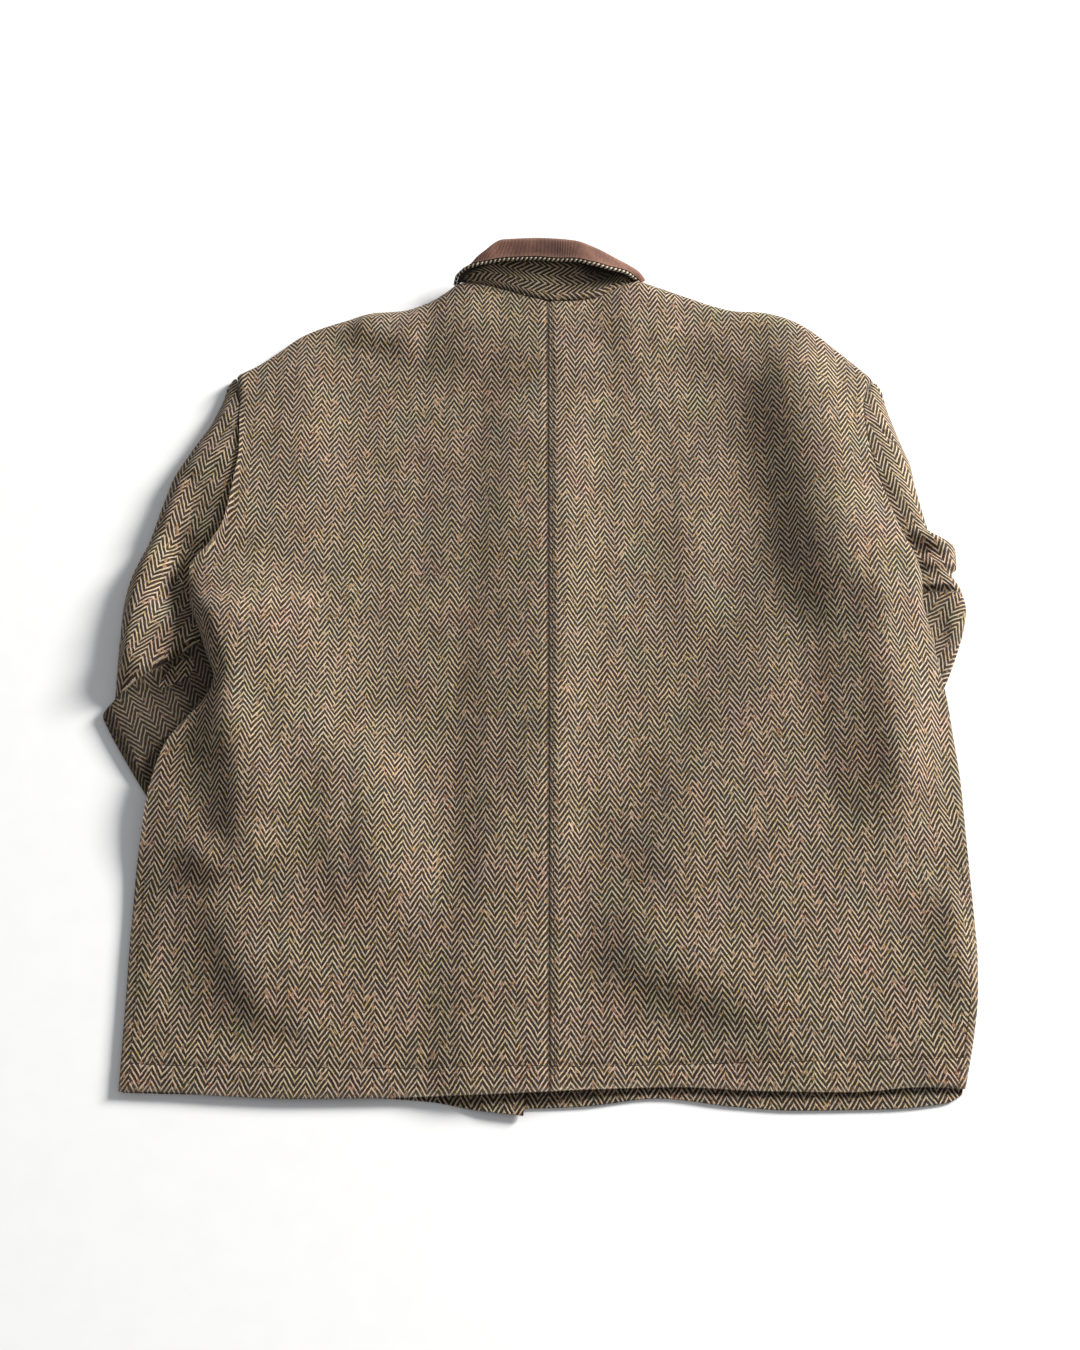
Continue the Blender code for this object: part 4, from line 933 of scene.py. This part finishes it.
# %% Sleeves
SLEEVE_ACROSS = edged(46, 0.18, 14)
SLEEVE_STEPS = 7            # sections between two rows of the table
SLEEVE_SEAM = 0.5 * MM
RIM_WIDTH = 0.012           # the outer rim has no folds over this width, and is worn
SEAM_WIDTH = 0.006          # nor has the cloth beside the armhole
SLEEVE_CREASES = (0.03, 0.8 * MM)
SLEEVE_SHADE = 0.002        # width of the shade in the armhole's seam
# Columns as in FOLDS.
SLEEVE_FOLDS_LEFT = (
    (24, 26, -6.5, ((-300, 150), (-314, 110), (-322, 70), (-326, 20), (-330, -30))),
    (10, 50, 9.5, ((-292, 50), (-310, 30), (-328, 12), (-348, -6), (-368, -22))),
    (16, 10, -3, ((-300, 20), (-316, 6), (-336, -12), (-358, -30))),
    (14, 20, -4.5, ((-300, 185), (-316, 160), (-326, 130), (-334, 100))),
    (14, 26, 2.4, ((-316, 200), (-334, 165), (-346, 125), (-354, 70))),
    (10, 7, -1.8, ((-286, 250), (-300, 236), (-318, 222))),
    (8, 8, 1.4, ((-290, 226), (-306, 205), (-326, 190))),
    (8, 7, -2, ((-288, 205), (-306, 190), (-330, 182))),
    (10, 8, -2.2, ((-286, 172), (-300, 158), (-322, 140), (-338, 112))),
    (9, 9, 2, ((-300, 175), (-322, 160), (-342, 130))),
    (10, 7, -2.2, ((-306, 135), (-322, 112), (-332, 80), (-336, 40))),
    (8, 12, 1.6, ((-340, 120), (-350, 80), (-354, 30))),
    (8, 8, -1.6, ((-322, 70), (-340, 40), (-362, 16))),
    (7, 7, 1.5, ((-330, -60), (-320, -100), (-306, -140))),
    (7, 7, -1.6, ((-340, -50), (-334, -85), (-320, -120))),
)
SLEEVE_FOLDS_RIGHT = (
    (3, 3, -1.6, ((286, 247), (300, 240), (312, 229), (319, 218))),
    (8, 8, 1.2, ((300, 200), (308, 180), (312, 160))),
    (6, 7, -1.8, ((312, 150), (330, 143), (350, 132))),
    (6, 6, 2, ((314, 135), (332, 128), (350, 120))),
    (5, 6, -2.2, ((318, 118), (334, 114), (352, 106))),
    (6, 6, 2.2, ((322, 103), (338, 98), (352, 88), (358, 76))),
    (7, 8, -1.8, ((336, 60), (340, 35), (338, 10))),
    (6, 8, 1.6, ((350, 55), (350, 30), (344, 8))),
)


def sleeve_table(head, arm, side_edge, side):
    """One row for each section: outer x, y, inner x, y, then four heights from inner to outer."""
    table = np.array(head)[::-1]
    rows = []
    seam = along(side_edge, np.linspace(0, 1, 600))[::-1]
    for x, y, edge, _ in seam[(seam[:, 1] >= table[0, 2]) & (seam[:, 1] <= table[-1, 2])][::8]:
        outer_x, outer_y, _, drop, a, b, c = (np.interp(y, table[:, 2], values)
                                              for values in table.T)
        rows.append((outer_x, outer_y, x + side * SLEEVE_SEAM, y, edge - drop, a, b, c))
    return np.array(rows + list(arm)), len(rows)


def turned_flat(points, first, second):
    """Flat map along a straight line of the sleeve, from its upper end to its lower end."""
    start, axis = np.array(first), np.array(second) - np.array(first)
    axis = axis / np.linalg.norm(axis)
    off = points[..., :2] - start
    return np.dstack([off[..., 0] * axis[1] - off[..., 1] * axis[0],
                      off[..., 0] * axis[0] + off[..., 1] * axis[1]])


def sleeve(name, side, head, arm, side_edge, folds, upper, lower, crease_row, painted_forearm_shade):
    """Top piece of a sleeve: seen beside the body, creased at the elbow, then under the body."""
    table, in_head = sleeve_table(head, arm, side_edge, side)
    count = (len(table) - 1) * SLEEVE_STEPS + 1
    sections = along(table, np.linspace(0, 1, count), by_length=False)
    u = SLEEVE_ACROSS
    outer, inner = sections[:, None, 0:2], sections[:, None, 2:4]
    ground = inner + (outer - inner) * u[None, :, None]
    knots = np.linspace(0.0, 1.0, 4)
    crown = np.array([smooth(knots, heights, u) for heights in sections[:, 4:8]]) * MM
    x, y = ground[..., 0], ground[..., 1]
    width = np.linalg.norm(outer - inner, axis=2)
    near_rim = fade((1 - u)[None] * width / RIM_WIDTH)
    near_seam = fade(u[None] * width / SEAM_WIDTH)
    free = (1.0 - near_rim) * (1.0 - near_seam)
    crown = crown + (folded(x, y, folds) + creased(x, y, *SLEEVE_CREASES)) * free
    roll = np.minimum(SLEEVE_ROLL, width * 0.8)
    z = SLEEVE_FOOT + (crown - SLEEVE_FOOT) * rolled((1 - u)[None] * width / roll)
    points = np.dstack([ground, z])
    turn_row = (in_head + crease_row) * SLEEVE_STEPS
    flat = turned_flat(points, *upper)
    flat[turn_row:] = turned_flat(points, *lower)[turn_row:]
    past_crease = fade((turn_row + 1 - np.arange(count)) / 3.0)[:, None]
    # Painted shade in the armhole's seam, and painted shade over the forearm past the crease.
    painted_shade_and_dust = np.maximum(0.45 * fade(u[None] * width / SLEEVE_SHADE), painted_forearm_shade * past_crease)
    piece = fitted(cloth(name + "_cloth", points, flat, tweed, lean=(u**2)[None], flip=side > 0,
                         wear=0.5 * near_rim * (1.0 - past_crease), painted_shade_and_dust=painted_shade_and_dust), name)
    laid.add(piece, TUCKED_BELOW_Y, TUCKED_TOP)
    return piece


sleeve("sleeve_left_top", -1, HEAD_LEFT, ARM_LEFT, SIDE_LEFT, SLEEVE_FOLDS_LEFT,
       upper=((-0.290, 0.300), (-0.386, 0.020)), lower=((-0.340, 0.000), (-0.215, -0.245)),
       crease_row=5, painted_forearm_shade=0.60)
sleeve_right = sleeve("sleeve_right_top", 1, HEAD_RIGHT, ARM_RIGHT, SIDE_RIGHT, SLEEVE_FOLDS_RIGHT,
                      upper=((0.300, 0.295), (0.360, 0.110)),
                      lower=((0.350, 0.060), (0.165, -0.260)), crease_row=4, painted_forearm_shade=0.15)

# %% [markdown]
# The fronts lie on the surface, face down, the left one lapped over the right with the buttons
# between them. Little of them shows: a strip of their inside below the back's hem. They are still
# made whole, because a panel that stops short shows as a gap from a low angle.

# %% Fronts
FRONT_ACROSS = edged(60, 0.06, 5)
FRONT_UP = edged(110, 0.05, 5)


def front(name, side, hem, side_edge, top, neckline):
    """Front panel: flat on the surface, lifted where a sleeve or the other front lies under it."""
    inset = [(x - side * FRONT_INSET, y, edge, roll) for x, y, edge, roll in side_edge]
    inset[0] = (*hem[-1], *inset[0][2:])
    shoulder = [(x, y - FRONT_INSET * 1.6) for x, y, _, _ in top if abs(x) > abs(neckline[-1][0])]
    shoulder[-1] = inset[-1][:2]
    upper = (*neckline, *shoulder)
    grid = patch(hem, upper, (hem[0], neckline[0]), inset, FRONT_ACROSS, FRONT_UP)
    x, y = grid[..., 0], grid[..., 1]
    z = lifted(x, y, False) - LAYER_GAP - 2 * TWEED + FLAT_TOP
    table = along(inset, FRONT_UP)[:, None]
    edge = table[..., 2] * MM - 2 * TWEED - PLY_GAP
    z = edge + (z - edge) * rolled(distance(x, y, table) / table[..., 3])
    beyond = distance(x, y, along(upper, FRONT_ACROSS)[None])
    at_shoulder = fade((NECK_HALF_WIDTH - np.abs(x)) / NECK_HALF_WIDTH)
    z = np.maximum(z, 0.0) * (1.0 - at_shoulder * fade(beyond / SHOULDER_FALL))
    z = laid.settle(x, y, z)
    points = np.dstack([x, y, z + TWEED])
    piece = fitted(cloth(name + "_cloth", points, grid, inner_tweed, lean=0.0, flip=side < 0),
                   name)
    laid.add(piece)


front("front_right", 1, FRONT_HEM_RIGHT, SIDE_RIGHT, TOP_RIGHT, NECKLINE_RIGHT)
for number in range(1, 6):
    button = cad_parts[f"button_{number}"]
    button.data.materials.clear()
    button.data.materials.append(horn)
    laid.add(button)
front("front_left", -1, FRONT_HEM_LEFT, SIDE_LEFT, TOP_LEFT, NECKLINE_LEFT)

# %% [markdown]
# The back is what the viewer sees, so its grid is the finest: a point every few millimetres, and
# every millimetre or two near the hem's stitching and the centre seam. The hem is turned up once
# and stitched, which leaves a shallow furrow with small puckers along it.

# %% Back panels
BACK_ACROSS = np.concatenate([np.linspace(0, 0.045, 13)[:-1],
                              0.045 + 0.955 * edged(72, 0.07, 9)])
BACK_UP = np.concatenate([np.linspace(0, 0.05, 26)[:-1], np.linspace(0.05, 0.90, 150)[:-1],
                          0.90 + 0.10 * edged(18, 0.35, 7)])
HEM_STITCHES = in_metres((
    (-327, -342), (-250, -345), (-100, -346), (0, -345), (116, -342.5), (230, -340), (310, -338),
    (328, -337),
))
EDGE_STITCHES = in_metres((
    (3.6, 376), (3.6, 0), (3.8, -364),
))
UNDERARM_Y = 0.150
CREASES = ((0.045, 1.0 * MM), (0.014, 0.35 * MM))   # small creases: scale and depth
HEM_FURROW = (0.9 * MM, 0.0022, 0.7 * MM)           # depth, width and puckers
EDGE_FURROW = (0.5 * MM, 0.0014, 0.25 * MM)
HEM_WORN, SIDE_WORN = 0.006, 0.005                  # widths of the rubbed edges
ARMHOLE_SHADE, NECK_SHADE, CENTRE_SHADE = 0.0018, 0.002, 0.003


def sewn(x, y, line, depth, width, pucker):
    """A furrow along a line of stitches, with small puckers on both sides of it."""
    signed, share = along_line(x, y, along(line, np.linspace(0, 1, 40)))
    furrow = -depth * np.exp(-(signed / width) ** 2)
    waves = np.array([noise.noise((float(s) * 55.0, float(d) * 60.0, 3.1))
                      for s, d in zip(share.ravel(), signed.ravel())]).reshape(x.shape)
    return furrow + pucker * waves * np.exp(-(signed / (width * 4)) ** 2)


def back(name, side, hem, side_edge, top):
    """Back panel from the centre back seam to the side seam, draped over what lies under it."""
    seam = side * SEAM / 2
    centre = ((seam, hem[0][1]), (seam, top[0][1]))
    hem, top = ((seam, *hem[0][1:]), *hem[1:]), ((seam, *top[0][1:]), *top[1:])
    grid = patch(hem, top, centre, side_edge, BACK_ACROSS, BACK_UP)
    x, y = grid[..., 0], grid[..., 1]
    z = FLAT_TOP + lifted(x, y, True) + folded(x, y, FOLDS)
    for scale, depth in CREASES:
        z = z + creased(x, y, scale, depth)
    for table in (along(side_edge, BACK_UP)[:, None], along(top, BACK_ACROSS)[None],
                  along(hem, BACK_ACROSS)[None]):
        edge = table[..., 2] * MM
        z = edge + (z - edge) * rolled(distance(x, y, table) / table[..., 3])
    z = z - SEAM_DIP * fade(np.abs(x) / SEAM_DIP_WIDTH)
    z = z + sewn(x, y, HEM_STITCHES, *HEM_FURROW) + sewn(x, y, EDGE_STITCHES, *EDGE_FURROW)
    z = laid.settle(x, y, z - TWEED, stiffness=4) + TWEED
    points = np.dstack([x, y, z])
    rows3, columns3 = flat_lengths(points)
    rows2, columns2 = flat_lengths(grid)
    flat = np.dstack([x + side * (rows3 - rows2), y + columns3 - columns2])
    hem_line, side_line = (along(rows, np.linspace(0, 1, 60))[:, :2] for rows in (hem, side_edge))
    neck = [(px, py) for px, py, _, _ in top if abs(px) < NECK_HALF_WIDTH]
    armhole = side_line[side_line[:, 1] > UNDERARM_Y]
    open_side = side_line[side_line[:, 1] <= UNDERARM_Y]
    wear = np.maximum(band_along_line(x, y, hem_line, HEM_WORN),
                      band_along_line(x, y, open_side, SIDE_WORN))
    # Painted shade, with some dust, in the armhole and neck seams and along the centre back seam.
    painted_shade_and_dust = np.maximum(0.5 * band_along_line(x, y, armhole, ARMHOLE_SHADE),
                      band_along_line(x, y, neck, NECK_SHADE))
    painted_shade_and_dust = np.maximum(0.75 * painted_shade_and_dust, 0.9 * fade(np.abs(x) / CENTRE_SHADE))
    piece = fitted(cloth(name + "_cloth", points, flat, tweed, lean=0.0, flip=side < 0, wear=wear,
                         painted_shade_and_dust=painted_shade_and_dust), name)
    return piece


back_left = back("back_left", -1, HEM_LEFT, SIDE_LEFT, TOP_LEFT)
back_right = back("back_right", 1, HEM_RIGHT, SIDE_RIGHT, TOP_RIGHT)

# %% [markdown]
# The collar has two plies and a cord between them. Each ply is offset from one middle surface, the
# under-collar to the outside of the stand and the top collar to its inside, so they can't cross.
# An arc of fixed radius rounds the fold, because a sharp one would crush the inner ply. The shade
# under the falling edge is painted deeper at the right, where the photograph shows a gap.

# %% Collar
COLLAR_STATIONS = 150
STAND_STEPS = 22
FOLD_STEPS = 12
FALL_STEPS = 14
FOLD_RADIUS = 3.6 * MM
RIPPLE = 0.9 * MM
SHADOW_REACH = 2.8 * MM     # the shade under the fall reaches this far
GAP_DEPTH = 20.0 * MM       # and this much farther at the gap
GAP_X, GAP_WIDTH = 0.047, 0.016
NECK_EDGE = np.array([row[:3] for row in TOP_LEFT[::-1]] + [row[:3] for row in TOP_RIGHT[1:]])


def around_fold(seam, fold, edge, steps):
    """An arc through the fold, met by straight lines from the seam and from the edge."""
    to_seam, to_edge = seam - fold, edge - fold
    shortest = min(np.linalg.norm(to_seam), np.linalg.norm(to_edge))
    to_seam, to_edge = to_seam / np.linalg.norm(to_seam), to_edge / np.linalg.norm(to_edge)
    outward = -(to_seam + to_edge) / np.linalg.norm(to_seam + to_edge)
    radius = min(FOLD_RADIUS, 0.45 * shortest / abs(to_edge @ outward))
    across = (to_edge - to_seam) / np.linalg.norm(to_edge - to_seam)
    centre = fold - outward * radius

    def tangent(point, side):
        off = point - centre
        bearing = math.atan2(off @ across, off @ outward)
        return bearing - side * math.acos(radius / np.linalg.norm(off))

    angles = np.linspace(tangent(seam, -1), tangent(edge, 1), steps + 1)
    return [centre + radius * (outward * math.cos(a) + across * math.sin(a)) for a in angles]


def collar_surface():
    """Middle surface between the plies, from the neck seam over the fold to the edge."""
    table = np.array(COLLAR)
    table[:, 2::3] *= MM
    table[:, 1] = np.interp(table[:, 0], NECK_EDGE[:, 0], NECK_EDGE[:, 1]) + 1.5 * MM
    table[:, 2] = (np.interp(table[:, 0], NECK_EDGE[:, 0], NECK_EDGE[:, 2]) + 0.1) * MM
    grid = []
    for row in along(table, np.linspace(0, 1, COLLAR_STATIONS), by_length=False):
        seam, fold, edge = row[0:3], row[3:6], row[6:9]
        arc = around_fold(seam, fold, edge, FOLD_STEPS)
        foot = seam - np.array((0.0, 0.6 * MM, 2.6 * MM))
        line = [foot, (foot + seam) / 2]
        line += [seam + (arc[0] - seam) * t for t in np.linspace(0, 1, STAND_STEPS - 1)[:-1]]
        line += arc
        line += [arc[-1] + (edge - arc[-1]) * t for t in np.linspace(0, 1, FALL_STEPS + 1)[1:]]
        grid.append(line)
    return np.array(grid)


middle = collar_surface()
ripple = np.array([[noise.noise((px * 38, py * 60, pz * 60)) for px, py, pz in line]
                   for line in middle])
lines = middle.shape[1]
numbers = np.arange(lines)
middle[..., 1] += RIPPLE * ripple * np.sin(np.linspace(0, math.pi, lines))[None]
across_lengths, along_lengths = flat_lengths(middle)
half_way = lines // 2
collar_flat = np.dstack([across_lengths,
                         np.repeat(along_lengths[:, half_way:half_way + 1], lines, 1)])
edge_wear = np.clip((numbers - lines + 5) / 5, 0, 1)[None]
fold_wear = np.exp(-((numbers - STAND_STEPS - FOLD_STEPS / 2) / 6) ** 2)[None]
# Painted shade in the collar's neck seam, and a painted shadow on the stand below the fall's edge,
# reaching farther at the gap on the right.
in_seam = fade(numbers / 3.0)[None]
below_edge = middle[..., 1] + middle[..., 2] / 2
below_edge = np.maximum(below_edge[:, -1:] - below_edge, 0.0)
shadow_width = SHADOW_REACH + GAP_DEPTH * np.exp(-((middle[:, :1, 0] - GAP_X) / GAP_WIDTH) ** 2)
in_painted_shadow = np.exp(-(below_edge / shadow_width) ** 2)
under_collar = cloth("collar_under_cloth", middle[:, ::-1], collar_flat[:, ::-1], tweed,
                     thickness=COLLAR_PLY, shift=COLLAR_PLY + PLY_GAP / 2,
                     painted_shade_and_dust=np.maximum(0.85 * in_seam, 0.95 * in_painted_shadow)[:, ::-1])
top_collar = cloth("collar_top_cloth", middle, collar_flat, cord, thickness=COLLAR_PLY,
                   shift=COLLAR_PLY + PLY_GAP / 2, wear=np.maximum(edge_wear, fold_wear))
fitted(under_collar, "collar_under")
fitted(top_collar, "collar_top")

# %% [markdown]
# The piping is swept along the collar's edge. Its section isn't a circle but two strands side by
# side, turned a little further at each step, and its colours turn with them.

# %% Piping
PIPING_SIDES = 14
CORD_RADIUS = 1.65 * MM


def twisted(name, line, radius, finish):
    lengths = run_along(line)
    places = np.linspace(0, lengths[-1], int(lengths[-1] / (TWIST_PITCH / 10)))
    line = np.column_stack([np.interp(places, lengths, line[:, axis]) for axis in range(3)])
    heading = np.gradient(line, axis=0)
    heading /= np.linalg.norm(heading, axis=1)[:, None]
    aside = np.cross(heading[0], (0.0, 0.0, 1.0))
    shares = np.arange(PIPING_SIDES + 1) / PIPING_SIDES
    rings = []
    for point, ahead, place in zip(line, heading, places):
        aside = aside - ahead * (aside @ ahead)
        aside = aside / np.linalg.norm(aside)
        above = np.cross(ahead, aside)
        ring = []
        for share in shares[:-1]:
            angle = 2 * math.pi * share
            strand = math.cos(2 * math.pi * (place / TWIST_PITCH + share)) ** 2
            ring.append(point + radius * (0.74 + 0.26 * strand)
                        * (aside * math.cos(angle) + above * math.sin(angle)))
        rings.append(ring)
    flat = np.array([[(share, place) for share in shares] for place in places])
    return wrapped(name, np.array(rings), flat, finish)


edge = middle[:, -1]
heading = np.gradient(edge, axis=0)
heading /= np.linalg.norm(heading, axis=1)[:, None]
outward = edge - middle[:, -3]
outward -= heading * (outward * heading).sum(axis=1)[:, None]
outward /= np.linalg.norm(outward, axis=1)[:, None]
collar_cord = fitted(twisted("collar_piping_cord", edge + outward * CORD_RADIUS, CORD_RADIUS,
                             piping), "collar_piping")

# %% [markdown]
# Five rows of machine stitches show: beside the centre back seam, along the hem, near the foot of
# each side seam, and in the seam across the right sleeve.

# %% Stitches
back_surfaces = [surface_of(back_left), surface_of(back_right)]
stitches("stitches_centre_back", EDGE_STITCHES, back_surfaces)
stitches("stitches_hem", HEM_STITCHES, back_surfaces)
stitches("stitches_side_left", [(x + 0.008, y) for x, y, _, _ in SIDE_LEFT[:4]], back_surfaces)
stitches("stitches_side_right", [(x - 0.006, y) for x, y, _, _ in SIDE_RIGHT[:5]], back_surfaces)
stitches("stitches_sleeve_right", in_metres(((286, 247), (300, 240), (312, 229), (317, 221))),
         [surface_of(sleeve_right)])

# %% [markdown]
# The stage is a plain pale floor. The real light comes from one large window to the upper right,
# low enough to rake over the folds, with the rest of the room filling the shadows. One large area
# light and a pale world do the same.

# %% Floor and light
WINDOW_PLACE = Vector((4.1, 2.5, 2.1))
WINDOW_SIZE, WINDOW_WATTS, WINDOW_COLOUR = 1.6, 620.0, (1.0, 0.985, 0.96)
ROOM_COLOUR, ROOM_STRENGTH = (0.95, 0.97, 1.0, 1.0), 0.34
FLOOR_LEVEL = -0.0002       # a hair below the lowest cloth


def placed(name, data, place, target):
    """A lamp or camera at a place, turned towards a target."""
    made = bpy.data.objects.new(name, data)
    made.location = place
    made.rotation_euler = (target - place).to_track_quat("-Z", "Y").to_euler()
    bpy.context.scene.collection.objects.link(made)
    return made


paper = Finish("pale floor", 0.9)
paper_grain = paper.noise(paper.place(), 40.0, 2.0)
paper_shades = ((0.2, (0.93, 0.93, 0.93)), (0.8, (0.96, 0.96, 0.96)))
plane = bmesh.new()
bmesh.ops.create_grid(plane, x_segments=1, y_segments=1, size=6.0)
bmesh.ops.translate(plane, verts=plane.verts, vec=(0.0, 0.0, FLOOR_LEVEL))
floor_mesh = bpy.data.meshes.new("floor")
plane.to_mesh(floor_mesh)
plane.free()
floor_mesh.materials.append(paper.coloured(paper.steps(paper_grain, paper_shades, sharp=False)))
floor = bpy.data.objects.new("floor", floor_mesh)
bpy.context.scene.collection.objects.link(floor)
floor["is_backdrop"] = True

light = bpy.data.lights.new("window", "AREA")
light.size, light.energy, light.color = WINDOW_SIZE, WINDOW_WATTS, WINDOW_COLOUR
placed("window", light, WINDOW_PLACE, Vector((0.0, 0.0, 0.0)))
world = bpy.data.worlds.new("room")
world.use_nodes = True
room = world.node_tree.nodes["Background"].inputs
room["Color"].default_value, room["Strength"].default_value = ROOM_COLOUR, ROOM_STRENGTH
bpy.context.scene.world = world
bpy.context.scene.view_settings.view_transform = "Standard"

# %% [markdown]
# The camera stands where the photograph's did: over the hem, looking down at 63 degrees, from about
# 1.8 metres. From there the sides of the jacket lean in a little towards the collar.

# %% Camera
CAMERA_PLACE = Vector((-0.0077, -0.8045, 1.5789))
CAMERA_TARGET = Vector((-0.0077, 0.0, 0.0))

lens = bpy.data.cameras.new("camera")
lens.lens, lens.sensor_width, lens.clip_start = 55.2, 36.0, 0.05
bpy.context.scene.camera = placed("camera", lens, CAMERA_PLACE, CAMERA_TARGET)

# %% [markdown]
# Last, the size. Cloth may stand a little proud of its solids, but the dressed jacket must stay the
# size of the plain one, so the sizes of both boxes are printed one under the other.

# %% Size
bpy.context.view_layer.update()
dressed_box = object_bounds()
for label, box in (("solids", solid_box), ("dressed", dressed_box)):
    print(label, [round(high - low, 4) for low, high in zip(*box)])
